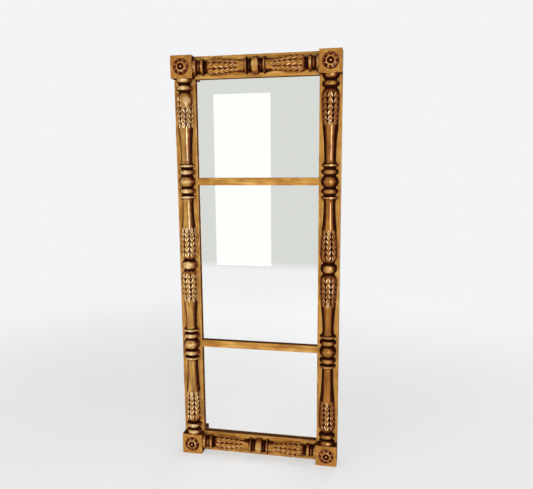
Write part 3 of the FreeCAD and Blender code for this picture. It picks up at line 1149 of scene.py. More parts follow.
@dataclass(frozen=True)
class StileTurning:
    """Radii and lengths of the tall turning, from its middle to its end."""

    reel_radius: float = 24.2
    reel_length: float = 27.0
    reel_round: float = 11.0
    neck_radius: float = 17.6
    neck_length: float = 4.2
    vase_radius: float = 26.4
    vase_share: float = 0.51
    shoulder_length: float = 20.5
    shaft_radius: float = 16.7
    collar_radius: float = 24.3
    collar_slope: float = 3.8
    collar_edge: float = 4.6
    cove_length: float = 12.5
    ring_radius: float = 24.9
    ring_length: float = 16.0
    ball_radius: float = 25.3
    ball_length: float = 31.0
    cap_radius: float = 24.5
    cap_root_radius: float = 18.2
    cap_length: float = 12.0
    cap_fillet: float = 2.6
    cap_neck: float = 2.9
    carvings: tuple[LeafCarving, ...] = (
        LeafCarving(root=20.5, length=92.0, heading=1),
        LeafCarving(root=502.0, length=92.0, heading=-1),
    )

    def outline(self, half_length: float, bar_offset: float) -> Outline:
        """Reel, vase, shaft, ball between rings, shaft, vase, ring and cap.

        Args:
            half_length: Distance from the middle to the block.
            bar_offset: Distance from the middle to the ball, which is as high as a bar.

        Returns:
            The outline of one half.
        """
        rings = self.ball_length / 2 + 2 * self.neck_length + self.ring_length
        rings = rings + self.collar_slope + self.collar_edge
        ring_end = half_length - self.cap_length - self.cap_fillet - self.cap_neck
        vase_end = ring_end - self.ring_length - self.neck_length
        shape = Outline(self.reel_radius)
        shape.along(self.reel_length / 2 - self.reel_round)
        shape.turn_away(self.reel_length / 2, self.neck_radius)
        shape.along(self.neck_length)
        shape.level_off(shape.station + self.shoulder_length, self.vase_radius)
        shape.ogee(bar_offset - rings - self.cove_length, self.shaft_radius, self.vase_share)
        shape.turn_away(bar_offset - rings, self.collar_radius)
        shape.along(self.collar_edge)
        shape.line(self.collar_slope, self.neck_radius)
        for length, crest in (
            (self.ring_length, self.ring_radius),
            (self.ball_length, self.ball_radius),
            (self.ring_length, self.ring_radius),
        ):
            shape.along(self.neck_length)
            shape.bead(length, crest)
        shape.along(self.neck_length)
        shape.line(self.collar_slope, self.collar_radius)
        shape.along(self.collar_edge)
        shape.level_off(shape.station + self.cove_length, self.shaft_radius)
        shape.ogee(vase_end - self.shoulder_length, self.vase_radius, 1 - self.vase_share)
        shape.turn_away(vase_end, self.neck_radius)
        shape.along(self.neck_length)
        shape.bead(self.ring_length, self.ring_radius)
        shape.along(self.cap_neck)
        shape.step(self.cap_root_radius)
        shape.along(self.cap_fillet)
        shape.level_off(half_length, self.cap_radius)
        return shape


@dataclass(frozen=True)
class RailTurning:
    """Radii and lengths of the short turning, from its middle to its end."""

    reel_radius: float = 25.4
    reel_length: float = 23.0
    reel_round: float = 8.5
    neck_radius: float = 17.6
    groove_length: float = 2.9
    listel_radius: float = 20.2
    listel_length: float = 4.6
    collar_radius: float = 24.3
    collar_slope: float = 2.4
    collar_edge: float = 4.0
    cove_length: float = 10.0
    shaft_radius: float = 18.0
    vase_radius: float = 26.4
    vase_share: float = 0.53
    shoulder_length: float = 16.0
    neck_length: float = 9.0
    ring_radius: float = 23.6
    ring_length: float = 9.6
    cap_radius: float = 24.5
    cap_root_radius: float = 18.2
    cap_length: float = 10.5
    carvings: tuple[LeafCarving, ...] = (LeafCarving(root=140.0, length=92.0, heading=-1),)

    def outline(self, half_length: float) -> Outline:
        """Reel, listel, collar, shaft, vase, deep neck, ring, listel and cap.

        Args:
            half_length: Distance from the middle to the block.

        Returns:
            The outline of one half.
        """
        ring_end = half_length - self.cap_length - 2 * self.groove_length - self.listel_length
        vase_end = ring_end - self.ring_length - self.neck_length
        shape = Outline(self.reel_radius)
        shape.along(self.reel_length / 2 - self.reel_round)
        shape.turn_away(self.reel_length / 2, self.neck_radius)
        self.listel(shape)
        shape.line(self.collar_slope, self.collar_radius)
        shape.along(self.collar_edge)
        shape.level_off(shape.station + self.cove_length, self.shaft_radius)
        shape.ogee(vase_end - self.shoulder_length, self.vase_radius, 1 - self.vase_share)
        shape.turn_away(vase_end, self.neck_radius)
        shape.along(self.neck_length)
        shape.bead(self.ring_length, self.ring_radius)
        self.listel(shape)
        shape.step(self.cap_root_radius)
        shape.level_off(half_length, self.cap_radius)
        return shape

    def listel(self, shape: Outline) -> None:
        """A square fillet between two grooves.

        Args:
            shape: Outline that it is added to.
        """
        shape.along(self.groove_length)
        shape.step(self.listel_radius)
        shape.along(self.listel_length)
        shape.step(self.neck_radius)
        shape.along(self.groove_length)


@dataclass(frozen=True)
class WornPatch:
    """A place on a turning where the carving and the gilding are rubbed away.

    Fields:
        carving_lost, gilding_lost: Squared distances up to which all is lost, and from which nothing is.
        bare_share: Most of the bare ground that shows.
        ragged, ragged_length, ragged_angle: How far the edge strays, and the scale of its waves.
    """

    station: float
    angle: float
    half_length: float
    half_angle: float
    carving_lost: Range = (0.5, 3.0)
    gilding_lost: Range = (0.0, 1.4)
    bare_share: float = 0.85
    ragged: float = 0.12
    ragged_length: float = 5.0
    ragged_angle: float = 0.25

    def losses(self, station: np.ndarray, angle: np.ndarray) -> tuple[np.ndarray, np.ndarray]:
        """Wear over the squared distance in the patch's own oval, with a ragged edge.

        Args:
            station: Stations along the axis.
            angle: Angles round the axis, 0 in front.

        Returns:
            Lost carving and lost gilding, each from 0 to 1.
        """
        distance = ((station - self.station) / self.half_length) ** 2
        distance = distance + ((angle - self.angle) / self.half_angle) ** 2
        waves = unevenness(station / self.ragged_length, angle / self.ragged_angle, 2.0)
        distance = distance + self.ragged * waves
        ranges = (self.carving_lost, self.gilding_lost)
        carving, gilding = (smooth(distance, none, all_lost) for all_lost, none in ranges)
        return carving, self.bare_share * gilding


@dataclass(frozen=True)
class Wear:
    """How age and painted light mark a column: where glaze and shade lie, and where hands have rubbed it.

    Fields:
        ridge_relief: Share of the side glaze and painted shade that the rings lose.
        collar_start, collar_end: Stations of the glazed collars beside the middle reel.
        grime_shade_reach, grime_shade_depth: Reach of a neck's walls, and depth of full dirt and painted
            shade.
        leaf_cleared: Share of the turning's own glaze that the carving removes, and more where it is rubbed.
        shade_rubbed: Share of the leaves' own glaze that full rubbing removes.
        turned_away: Share of the glint that leaf tips on the sides lose.
        arris_reach, arris_height: Distance of the places that an edge is compared with, and height over them.
        arris_cleared, arris_dulled: Glaze that edges lose, and rubbing and painted highlight lost on the
            sides.
        ring_front: Middle and half width of the painted highlight and rubbing on the rings' fronts.
        ridge_reach, ridge_height: Distance within which a ring's hollows lie, and height over them.
        paling: Paleness of what is rubbed and keeps no glaze.
    """

    rubbed: float = 0.0
    # Painted shade with the glaze: darker sides turned from the front, tilted flanks and necks.
    side_glaze_and_shade: float = 0.98
    glazed_and_shaded_sides: Range = (math.radians(4), math.radians(58))
    ridge_relief: float = 0.25
    collar_glaze: float = 0.0
    collar_start: Range = (10.0, 13.0)
    collar_end: Range = (32.0, 28.0)
    flank_glaze_and_shade: float = 0.95
    flank_tilt: Range = (math.radians(26), math.radians(62))
    grime_shade_reach: float = 9.0
    grime_shade_depth: float = 5.0
    leaf_contrast: float = 1.0
    leaf_cleared: Range = (0.66, 0.3)
    shade_rubbed: float = 0.5
    glint: float = 1.25
    turned_away: float = 0.65
    arris_wear_and_highlight: float = 0.42
    arris_reach: float = 2.0
    arris_height: Range = (0.5, 1.5)
    arris_cleared: float = 0.7
    arris_dulled: float = 0.4
    ring_wear_and_highlight: float = 0.30
    ring_front: Range = (0.06, 0.42)
    ridge_reach: float = 17.0
    ridge_height: Range = (2.5, 6.0)
    reel_gilt: float = 0.70
    reel_zone: Range = (14.0, 10.0)
    ridge_gilt: float = 0.25
    paling: float = 0.55


@dataclass
class Baluster:
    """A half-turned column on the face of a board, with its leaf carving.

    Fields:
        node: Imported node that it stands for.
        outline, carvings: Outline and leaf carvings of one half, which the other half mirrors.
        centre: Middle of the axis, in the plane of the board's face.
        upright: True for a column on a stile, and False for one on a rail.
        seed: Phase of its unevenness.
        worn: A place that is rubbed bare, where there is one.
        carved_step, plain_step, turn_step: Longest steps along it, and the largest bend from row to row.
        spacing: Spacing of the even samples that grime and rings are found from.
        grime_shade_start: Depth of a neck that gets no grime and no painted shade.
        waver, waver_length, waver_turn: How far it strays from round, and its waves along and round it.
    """

    node: str
    outline: Outline
    carvings: tuple[LeafCarving, ...]
    centre: Place
    upright: bool
    seed: float
    wear: Wear
    worn: Optional[WornPatch] = None
    steps_round: int = 100
    carved_step: float = 0.75
    plain_step: float = 5.0
    turn_step: float = 0.22
    spacing: float = 0.5
    grime_shade_start: float = 1.0
    waver: float = 0.10
    waver_length: float = 31.0
    waver_turn: float = 1.5

    def profile(self) -> tuple[np.ndarray, np.ndarray]:
        """Stations and radii of the whole outline, closer together where it bends or is carved.

        Each run is cut so that the sum of length / step and bend / turn_step is about 1 from row to row.

        Returns:
            Stations from one end to the other, and the radii there.
        """
        found = [self.outline.runs[0][:1]]
        for run in self.outline.runs:
            change = np.diff(run, axis=0)
            bend = np.abs(np.diff(np.unwrap(np.arctan2(change[:, 1], change[:, 0])), prepend=0.0))
            bend[0] = 0.0
            carved = np.any([carving.covers(run[1:, 0]) for carving in self.carvings], axis=0)
            step = np.where(carved, self.carved_step, self.plain_step)
            need = np.append(0.0, np.cumsum(np.hypot(*change.T) / step + bend / self.turn_step))
            wanted = np.linspace(0.0, need[-1], math.ceil(need[-1]) + 1)[1:]
            found.append(np.stack([np.interp(wanted, need, run[:, axis]) for axis in (0, 1)], axis=-1))
        half = np.concatenate(found)
        mirrored = half[:0:-1] * (-1, 1)
        stations, radii = np.concatenate([mirrored, half]).T
        return stations, radii

    def evenly(self, stations: np.ndarray, radii: np.ndarray) -> tuple[np.ndarray, np.ndarray]:
        """Evenly spaced stations, and the radii there."""
        even = np.arange(stations[0], stations[-1] + self.spacing, self.spacing)
        return even, np.interp(even, stations, radii)

    def nearby(self, level: np.ndarray, reach_mm: float, pick: Callable, beyond: float) -> list[np.ndarray]:
        """The highest or lowest level within a reach, on each side of every even station.

        Args:
            level: Levels at the even stations.
            reach_mm: Distance that counts on each side.
            pick: Function that picks the highest or the lowest.
            beyond: Level past the ends.

        Returns:
            Levels before and after each station.
        """
        reach = round(reach_mm / self.spacing)
        padded = np.pad(level, reach, constant_values=beyond)
        found = pick(np.lib.stride_tricks.sliding_window_view(padded, reach + 1), axis=-1)
        return [found[: level.size], found[reach:]]

    def grime_and_shade(self, stations: np.ndarray, radii: np.ndarray) -> np.ndarray:
        """Dirt and painted shade in the necks: how far a place lies under the highest within
        grime_shade_reach on both sides.

        Args:
            stations: Stations of the profile.
            radii: Radii there.

        Returns:
            Dirt and painted shade from 0 to 1 at each station.
        """
        even, level = self.evenly(stations, radii)
        walls = np.minimum(*self.nearby(level, self.wear.grime_shade_reach, np.max, level.max()))
        under = np.interp(stations, even, walls) - radii
        return np.clip((under - self.grime_shade_start) / self.wear.grime_shade_depth, 0.0, 1.0)

    def ridges(self, stations: np.ndarray, radii: np.ndarray) -> np.ndarray:
        """Crests of the rings: how far a place stands over the lowest within ridge_reach on both sides.

        Args:
            stations: Stations of the profile.
            radii: Radii there.

        Returns:
            Crests from 0 to 1 at each station.
        """
        even, level = self.evenly(stations, radii)
        hollows = np.maximum(*self.nearby(level, self.wear.ridge_reach, np.min, level.min()))
        return smooth(np.interp(stations, even, level - hollows), *self.wear.ridge_height)

    def arrises(self, stations: np.ndarray, radii: np.ndarray) -> np.ndarray:
        """Sharp edges: how far a place stands over the mean of the two places arris_reach from it.

        Args:
            stations: Stations of the profile.
            radii: Radii there.

        Returns:
            Sharpness from 0 to 1 at each station.
        """
        reach = self.wear.arris_reach
        before, after = (np.interp(stations + shift, stations, radii) for shift in (-reach, reach))
        return smooth(radii - (before + after) / 2, *self.wear.arris_height)

    def flanks(self, stations: np.ndarray, radii: np.ndarray) -> np.ndarray:
        """Flanks of rings and necks, where shade is painted: the outline's tilt from the axis, graded from 0
        to 1.
        """
        tilt = np.abs(np.arctan2(np.gradient(radii), np.gradient(stations)))
        return smooth(tilt, *self.wear.flank_tilt)

    def patch(self) -> Patch:
        """The carved half column as a grid of stations by angles.

        The radius is the turned one, less the depth of the cut where no leaf fills it. The columns go round
        the front from -90 to 90 degrees, and close over the flat back. Where two glazes meet, what shows
        through is the product of what shows through each.

        Returns:
            Points with their painted glaze and shade, crests and highlights, clean gilding and bare places.
        """
        wear = self.wear
        stations, radii = self.profile()
        angles = np.linspace(-math.pi / 2, math.pi / 2, self.steps_round + 1)
        station, angle = np.meshgrid(stations, angles, indexing="ij")
        radius = np.broadcast_to(radii[:, None], station.shape)
        worn = bare = np.zeros_like(station)
        if self.worn is not None:
            worn, bare = self.worn.losses(station, angle)

        from_middle = np.abs(stations)
        reel = smooth(from_middle, *wear.reel_zone)
        collars = smooth(from_middle, *wear.collar_start) * smooth(from_middle, *wear.collar_end)
        # Necks, tilted flanks and the sides turned from the front are darkened: painted shade as well as
        # glaze and dirt.
        grime_and_shade = self.grime_and_shade(stations, radii)
        settled_and_shaded = np.maximum(grime_and_shade, wear.flank_glaze_and_shade * self.flanks(stations, radii))
        settled_and_shaded = np.maximum(settled_and_shaded, wear.collar_glaze * collars)
        ridges = self.ridges(stations, radii)
        ridge = np.maximum(ridges, reel)[:, None]
        sides = smooth(np.abs(angle), *wear.glazed_and_shaded_sides)
        # Sharp edges get a painted highlight as well as rubbed wear, less on the sides.
        edges = (wear.arris_wear_and_highlight * self.arrises(stations, radii) * (1 - grime_and_shade))[:, None]
        glaze_and_shade = 1 - (1 - settled_and_shaded[:, None]) * (1 - wear.side_glaze_and_shade * sides * (1 - wear.ridge_relief * ridge))
        glaze_and_shade = glaze_and_shade * (1 - wear.arris_cleared * edges)
        # The fronts of the rings get a painted highlight as well as rubbed wear.
        rub_and_highlight = wear.ring_wear_and_highlight * ridge * bump(angle, *wear.ring_front)
        crest = np.maximum(edges * (1 - wear.arris_dulled * sides), rub_and_highlight)

        cleared, cleared_more = wear.leaf_cleared
        # Leaf tips on the sides lose some of their painted highlight.
        facing = 1 - wear.turned_away * sides * (1 - wear.rubbed)
        for carving in self.carvings:
            leaves = carving.relief(station, angle, self.seed)
            cut = leaves.cut * (1 - worn)
            radius = radius - carving.depth * cut * (1 - leaves.height)
            dark = wear.leaf_contrast * leaves.shade * (1 - wear.shade_rubbed * wear.rubbed) * (1 - worn)
            left = glaze_and_shade * (1 - (cleared + cleared_more * wear.rubbed) * cut)
            glaze_and_shade = 1 - (1 - left) * (1 - np.clip(dark, 0.0, 1.0))
            glint = wear.glint * wear.leaf_contrast * leaves.glint * (1 - worn)
            crest = np.maximum(crest, glint * facing * (1 + wear.rubbed))
        glaze_and_shade = glaze_and_shade * (1 - bare)
        crest = np.maximum(crest, wear.paling * wear.rubbed * (1 - glaze_and_shade))
        handled = np.maximum(wear.reel_gilt * reel, wear.ridge_gilt * ridges)
        gilt = np.broadcast_to(handled[:, None], station.shape)
        waves = unevenness(station / self.waver_length, angle * self.waver_turn, self.seed)
        radius = radius + self.waver * waves
        out = radius * np.sin(angle)
        across, up = (out, station) if self.upright else (station, out)
        x, y, z = self.centre
        points = np.stack([x + across, y - radius * np.cos(angle), z + up], axis=-1)
        return Patch(points, {"glaze_and_shade": glaze_and_shade, "crest": crest, "gilt": gilt, "bare": bare})

    def build(self, finish: bpy.types.Material) -> None:
        """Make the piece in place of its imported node."""
        piece = make_piece(f"{self.node}_carved", [self.patch()])
        settle(piece, FRAME_BODY, "gilded_turning", finish, self.node)


@dataclass
class Balusters:
    """The four half-turned columns of the frame.

    Fields:
        stile, rail: Turnings of the tall and the short columns.
        wear: How age and painted light mark the left, the right and the short columns.
        worn: The bare place on the left column.
    """

    layout: Layout
    stile: StileTurning = StileTurning()
    rail: RailTurning = RailTurning()
    wear: dict[str, Wear] = field(default_factory=lambda: {
        # The left column is rubbed lighter, partly as painted light for the stronger light on that side.
        "left": Wear(
            rubbed=0.31, side_glaze_and_shade=0.74, glazed_and_shaded_sides=(math.radians(8), math.radians(66)),
            ring_wear_and_highlight=0.62, ridge_gilt=0.55,
        ),
        "right": Wear(),
        "rail": Wear(
            rubbed=0.12, side_glaze_and_shade=0.70, glazed_and_shaded_sides=(math.radians(8), math.radians(66)),
            collar_glaze=0.5, grime_shade_reach=13.0, grime_shade_depth=4.6,
            leaf_contrast=0.82, ring_wear_and_highlight=0.50, ridge_gilt=0.2,
        ),
    })
    worn: WornPatch = WornPatch(station=486.0, angle=0.46, half_length=15.0, half_angle=0.56)

    def build(self, gilding: Gilding, rubbed: Gilding, golden: Gilding) -> None:
        """Carve and dress the columns.

        Args:
            gilding: Gilding of the right column, which keeps the most glaze.
            rubbed: Gilding of the left column, which is the most worn and is lightened as painted light.
            golden: Gilding of the top and bottom columns.
        """
        layout = self.layout
        tall = self.stile.outline(layout.mid_height - layout.board_width, layout.bar_offset)
        short = self.rail.outline(layout.half_sight)
        finishes = {
            "left": rubbed.material("gilded_turning_rubbed_and_lit", Grain.UPRIGHT),
            "right": gilding.material("gilded_turning_upright", Grain.UPRIGHT),
            "rail": golden.material("gilded_turning_across", Grain.ACROSS),
        }
        for seed, (side, sign) in enumerate(SIDES.items(), start=1):
            centre = (sign * layout.stile_x, layout.face_y, layout.mid_height)
            worn = self.worn if side == "left" else None
            wear = self.wear[side]
            column = Baluster(f"{side}_baluster", tall, self.stile.carvings, centre, True, seed, wear, worn)
            column.build(finishes[side])
        for seed, level in enumerate(LEVELS, start=4):
            centre = (0.0, layout.face_y, layout.rail_z(level))
            wear = self.wear["rail"]
            column = Baluster(f"{level}_baluster", short, self.rail.carvings, centre, False, seed, wear)
            column.build(finishes["rail"])


@dataclass
class Rosette:
    """A carved flower of scooped petals round a well.

    The ranges are offsets from the well or the ridge, or shares of a petal.

    Fields:
        radius, valley_radius: Radii of the petals' tips and of the valleys between them.
        ridge_radius: Radius of the ridge from which the petals slope down.
        well_wall: Offsets from the well's and the ridge's radius between which the wall rises.
        lip_height, lip_drop: Rise of the ridge at each petal, and its distance under the flower's height.
        slope_power: Power that shapes the slope from the ridge to the rim.
        bowl_width, bowl_middle, bowl_half: Half width, middle and half length of a petal's bowl.
        rib_oval: Oval distances between which the ribs begin.
        ridge_line: Offset and half width of the rubbed ridge.
    """

    radius: float = 22.0
    valley_radius: float = 20.2
    petals: int = 8
    ridge_radius: float = 11.2
    well_radius: float = 8.4
    well_height: float = 1.6
    well_wall: Range = (-0.8, -0.6)
    lip_height: float = 0.25
    lip_drop: float = 0.35
    rim_height: float = 1.5
    slope_power: float = 0.9
    least_height: float = 0.5
    scoop: float = 1.5
    bowl_width: float = 0.90
    bowl_middle: float = 0.54
    bowl_half: float = 0.52
    well_edge: Range = (2.6, 0.4)
    well_waver: float = 1.0
    rib_oval: Range = (0.80, 1.10)
    rib_root: Range = (0.05, 0.30)
    slope_edge: Range = (0.2, 4.2)
    slope_waver: float = 1.6
    thin_glaze: float = 0.16
    mottled: float = 0.22
    petal_glaze: float = 0.30
    petal_waver: float = 0.16
    bowl_glaze: float = 0.20
    rib_cleared: float = 0.12
    rim_glaze_and_shade: float = 0.62
    rim_edge: Range = (0.88, 1.0)
    ridge_rubbed: Range = (0.30, 0.50)
    ridge_line: Range = (0.9, 1.8)
    rib_rub_and_highlight: Range = (0.30, 0.80)
    rib_tip: Range = (0.95, 0.65)
    rings: int = 64
    steps_round: int = 192

    def patch(self, centre: tuple[float, float], block_y: float, height: float, seed: float) -> Patch:
        """The flower as a grid of rings by angles, with a flat back.

        Over the radius r the surface rises from the well to the ridge and slopes down to the rim. Each petal
        is scooped to an oval bowl sqrt(1 - e^2), where e is the oval distance from the petal's middle, so a
        rib is left between it and the next.

        Args:
            centre: The flower's x and z.
            block_y: Plane of the block's face.
            height: Height of the ridge over that plane.
            seed: Phase of the uneven glaze.

        Returns:
            Points with their painted glaze and shade, and their rubbed and highlighted crests.
        """
        shares = np.linspace(0.0, 1.0, self.rings)
        share, angle = np.meshgrid(shares, full_turn(self.steps_round), indexing="ij")
        pitch = 2 * math.pi / self.petals
        across = 2 * ((angle / pitch + 0.5) % 1.0 - 0.5)
        rim = self.valley_radius + (self.radius - self.valley_radius) * np.sqrt(1 - across ** 2)
        radius = share * rim
        petal = np.clip((radius - self.ridge_radius) / (rim - self.ridge_radius), 0.0, 1.0)
        rise = smooth(radius, self.well_radius + self.well_wall[0], self.ridge_radius + self.well_wall[1])
        lip = self.lip_height * (1 - across ** 2)
        level = self.well_height + (height - self.lip_drop + lip - self.well_height) * rise
        level = level - (height - self.rim_height) * petal ** self.slope_power
        oval = (across / self.bowl_width) ** 2 + ((petal - self.bowl_middle) / self.bowl_half) ** 2
        bowl = np.sqrt(np.clip(1 - oval, 0.0, 1.0))
        level = np.maximum(level - self.scoop * bowl, self.least_height)

        # Whole numbers of waves round the flower, so that they close.
        waver = unevenness(2 * angle, 3 * angle, seed)
        mottle = unevenness(5 * angle + radius / 3.0, 4 * angle - radius / 2.0, seed + 2.0)
        rib = smooth(oval, *self.rib_oval) * smooth(petal, *self.rib_root)
        outer, inner = (self.well_radius + offset for offset in self.well_edge)
        well = smooth(radius, outer + self.well_waver * waver, inner)
        start, full = (self.ridge_radius + offset for offset in self.slope_edge)
        slope = smooth(radius, start, full - self.slope_waver * waver)
        glazed = self.petal_glaze + self.petal_waver * waver + self.bowl_glaze * bowl - self.rib_cleared * rib
        dark = self.thin_glaze + glazed * slope + self.mottled * mottle
        # The rim against the block gets painted shade as well as glaze.
        dark = np.maximum(np.maximum(dark, well), self.rim_glaze_and_shade * smooth(petal, *self.rim_edge))
        offset, half_width = self.ridge_line
        mean, swing = self.ridge_rubbed
        light = (mean + swing * waver) * bump(radius, self.ridge_radius + offset, half_width)
        # The ribs get a painted highlight as well as rubbing.
        mean, swing = self.rib_rub_and_highlight
        light = light + (mean + swing * mottle) * rib * smooth(petal, *self.rib_tip)
        light = np.clip(light, 0.0, 1.0)

        # Two rings close the back: the rim on the block's face, and its middle.
        out = np.concatenate([radius, radius[-1:], 0 * radius[-1:]])
        turn = np.vstack([angle, angle[-2:]])
        proud = np.concatenate([level, 0 * level[-2:]])
        dark = np.concatenate([dark, np.ones_like(dark[-2:])])
        light = np.concatenate([light, np.zeros_like(light[-2:])])
        x = centre[0] + out * np.cos(turn)
        z = centre[1] + out * np.sin(turn)
        return Patch(np.stack([x, block_y - proud, z], axis=-1), {"glaze_and_shade": dark, "crest": light})


@dataclass
class CornerBlock:
    """A square block with eased and slightly knocked edges.

    Fields:
        half: Half the side of the square.
        arris, corner: Radii of the face's edges and of the upright corners.
        knock, knock_from: Depth of the knocks, and the unevenness past which there are any.
        wear_middle, wear_reach, side_edge: Places of the worn edge and the glazed, shaded sides, in arris
            radii.
        shadow_radius, shadow_edge: Radius of the painted shadow and glaze round the flower, and offsets of
            its edge.
        face_spacing: Power that draws the rows of the face together towards its edge.
    """

    half: float
    front_y: float
    back_y: float
    arris: float = 1.6
    corner: float = 1.0
    knock: float = 0.45
    knock_from: float = 0.35
    wear_middle: float = 0.3
    wear_reach: float = 1.6
    rubbed: float = 0.6
    shadow: float = 0.9
    shadow_radius: float = 23.2
    shadow_edge: Range = (1.0, -1.5)
    side_glaze_and_shade: float = 0.64
    side_edge: Range = (0.8, 2.2)
    steps_side: int = 40
    face_rows: int = 22
    arris_rows: int = 7
    side_rows: int = 10
    face_spacing: float = 0.7

    def profile(self) -> tuple[np.ndarray, np.ndarray]:
        """The profile from the middle of the face round the arris, back along the side and over the back.

        Returns:
            Insets from the side, and depths behind the face.
        """
        quarter = np.linspace(0.0, math.pi / 2, self.arris_rows)
        shares = np.linspace(0.0, 1.0, self.face_rows) ** self.face_spacing
        face = (self.half - (self.half - self.arris) * shares)[:-1]
        side = np.linspace(self.arris, self.back_y - self.front_y, self.side_rows)[1:]
        inset = np.concatenate([face, self.arris * (1 - np.sin(quarter)), 0 * side, [self.half]])
        depth = np.concatenate([0 * face, self.arris * (1 - np.cos(quarter)), side, side[-1:]])
        return inset, depth

    def square(self) -> np.ndarray:
        """Points evenly round a square of half side 1.

        Returns:
            Array of points as (x, z).
        """
        run = np.linspace(-1.0, 1.0, self.steps_side, endpoint=False)
        edge = np.ones_like(run)
        sides = ((run, -edge), (edge, run), (-run, edge), (-edge, -run))
        return np.concatenate([np.stack(side, axis=-1) for side in sides])

    def patch(self, centre: tuple[float, float], seed: float) -> Patch:
        """The block as its profile carried round a square.

        At an inset d the path is a square of half side (half - d), whose corners are rounded by the corner
        radius.

        Args:
            centre: The block's x and z.
            seed: Phase of the knocks along its edges.

        Returns:
            Points with their painted hollows and crests.
        """
        inset, depth = self.profile()
        middle = self.wear_middle * self.arris
        wear = bump(np.hypot(inset - middle, depth - middle), 0.0, self.wear_reach * self.arris)[:, None]
        square = self.square()
        around = full_turn(len(square))
        knocked = np.clip(unevenness(6 * around, 11 * around, seed) - self.knock_from, 0.0, 1.0)
        lost = self.knock * wear * knocked
        depth = depth[:, None] + lost
        reach = np.maximum(self.half - (inset[:, None] + lost), 0.0)[..., None]
        flat = square * reach
        core = np.maximum(reach - self.corner, 0.0)
        inner = np.clip(flat, -core, core)
        away = flat - inner
        length = np.linalg.norm(away, axis=-1, keepdims=True)
        rounded = inner + away / np.maximum(length, NOT_ZERO) * np.minimum(reach, self.corner)

        spread = np.linalg.norm(rounded, axis=-1)
        # Painted shadow and glaze round the flower, and painted shade with glaze on the sides.
        outer, inner_edge = (self.shadow_radius + offset for offset in self.shadow_edge)
        glaze_and_shade = self.shadow * smooth(spread, outer, inner_edge) * (depth < self.arris)
        start, full = (share * self.arris for share in self.side_edge)
        glaze_and_shade = np.maximum(glaze_and_shade, self.side_glaze_and_shade * smooth(depth, start, full))
        crest = self.rubbed * wear * (0.5 + 0.5 * unevenness(4 * around, 7 * around, seed + 1.0))
        x = centre[0] + rounded[..., 0]
        z = centre[1] + rounded[..., 1]
        points = np.stack([x, self.front_y + depth, z], axis=-1)
        return Patch(points, {"glaze_and_shade": glaze_and_shade, "crest": np.clip(crest, 0.0, 1.0)})


@dataclass
class Corners:
    """The square corner blocks, their flowers and the round-headed pins."""

    layout: Layout
    rosette: Rosette = field(default_factory=Rosette)
    petal_sharp_deg: float = 55.0
    # The pins' crowns are bright, partly a painted highlight, with glaze and painted shade round them.
    crown_glaze_and_shade: Range = (0.8, 3.2)
    bead_colour: Colour = (0.78, 0.50, 0.20)
    block_seed_step: float = 1.3
    first_flower_seed: float = 0.7
    flower_seed_step: float = 1.9

    def build(self, gilding: Gilding, petalled: Gilding) -> None:
        """Make the blocks and flowers, and dress the pins.

        Args:
            gilding: Gilding of the blocks and pins.
            petalled: Gilding of the flowers.
        """
        layout = self.layout
        face = gilding.material("gilded_block", Grain.NONE)
        flower = petalled.material("gilded_rosette", Grain.NONE)
        block = CornerBlock(layout.board_width / 2, layout.block_y, layout.face_y)
        height = layout.block_y - layout.rosette_y
        for number, (name, centre) in enumerate(layout.corners().items()):
            eased = block.patch(centre, self.block_seed_step * number)
            piece = make_piece(f"corner_block_{name}_eased", [eased])
            settle(piece, FRAME_BODY, "gilded_block", face, f"corner_block_{name}")
            seed = self.first_flower_seed + self.flower_seed_step * number
            petals = self.rosette.patch(centre, layout.block_y, height, seed)
            piece = make_piece(f"rosette_{name}_carved", [petals], self.petal_sharp_deg)
            settle(piece, FRAME_BODY, "gilded_rosette", flower, f"rosette_{name}")
        dress(["rosette_pins"], self.bead(gilding))

    def bead(self, gilding: Gilding) -> bpy.types.Material:
        """Bright gilding on the crown of each pin, partly a painted highlight, and dark glaze and painted
        shade round it.

        The squared distance from the nearest pin's axis grades the glaze and shade.

        Args:
            gilding: Gilding that the darker places of the crowns have.

        Returns:
            The new material.
        """
        layout = self.layout
        bright = Gilding(bright=self.bead_colour, middle=self.bead_colour, deep=gilding.bright)
        material, paint = new_paint("gilded_bead")
        x, _, z = paint.parts(paint.place())
        across = abs(x) - layout.stile_x * MM
        along = abs(z - layout.mid_height * MM) - (layout.rail_z("top") - layout.mid_height) * MM
        distance = across * across + along * along
        crown, rim = ((radius * MM) ** 2 for radius in self.crown_glaze_and_shade)
        shade(paint, bright.layers(paint, Grain.NONE, distance.rise(crown, rim)), bright.varnish())
        return material


@dataclass
class Boards:
    """The stiles, rails and bars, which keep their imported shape."""

    finish: BoardFinish

    def build(self) -> None:
        """Dress the boards along their own grain."""
        dress(["left_stile", "right_stile"], self.finish.material("gilded_board_upright", Grain.UPRIGHT))
        across = self.finish.material("gilded_board_across", Grain.ACROSS)
        dress(["top_rail", "bottom_rail", "upper_bar", "lower_bar"], across)


@dataclass
class Glazing:
    """The mirror panes, the boards behind them and the brads that hold these in."""

    layout: Layout
    pine: Pine
    iron: Metal

    def build(self) -> None:
        """Dress the panes, backboards and brads."""
        panes = ("upper", "middle", "lower")
        glass = SilveredGlass(self.layout).material("silvered_glass")
        dress([f"{pane}_pane" for pane in panes], glass)
        dress([f"{pane}_backboard" for pane in panes], self.pine.material("backboard_pine", Grain.ACROSS))
        dress(["backboard_brads"], self.iron.material("brad_iron"))


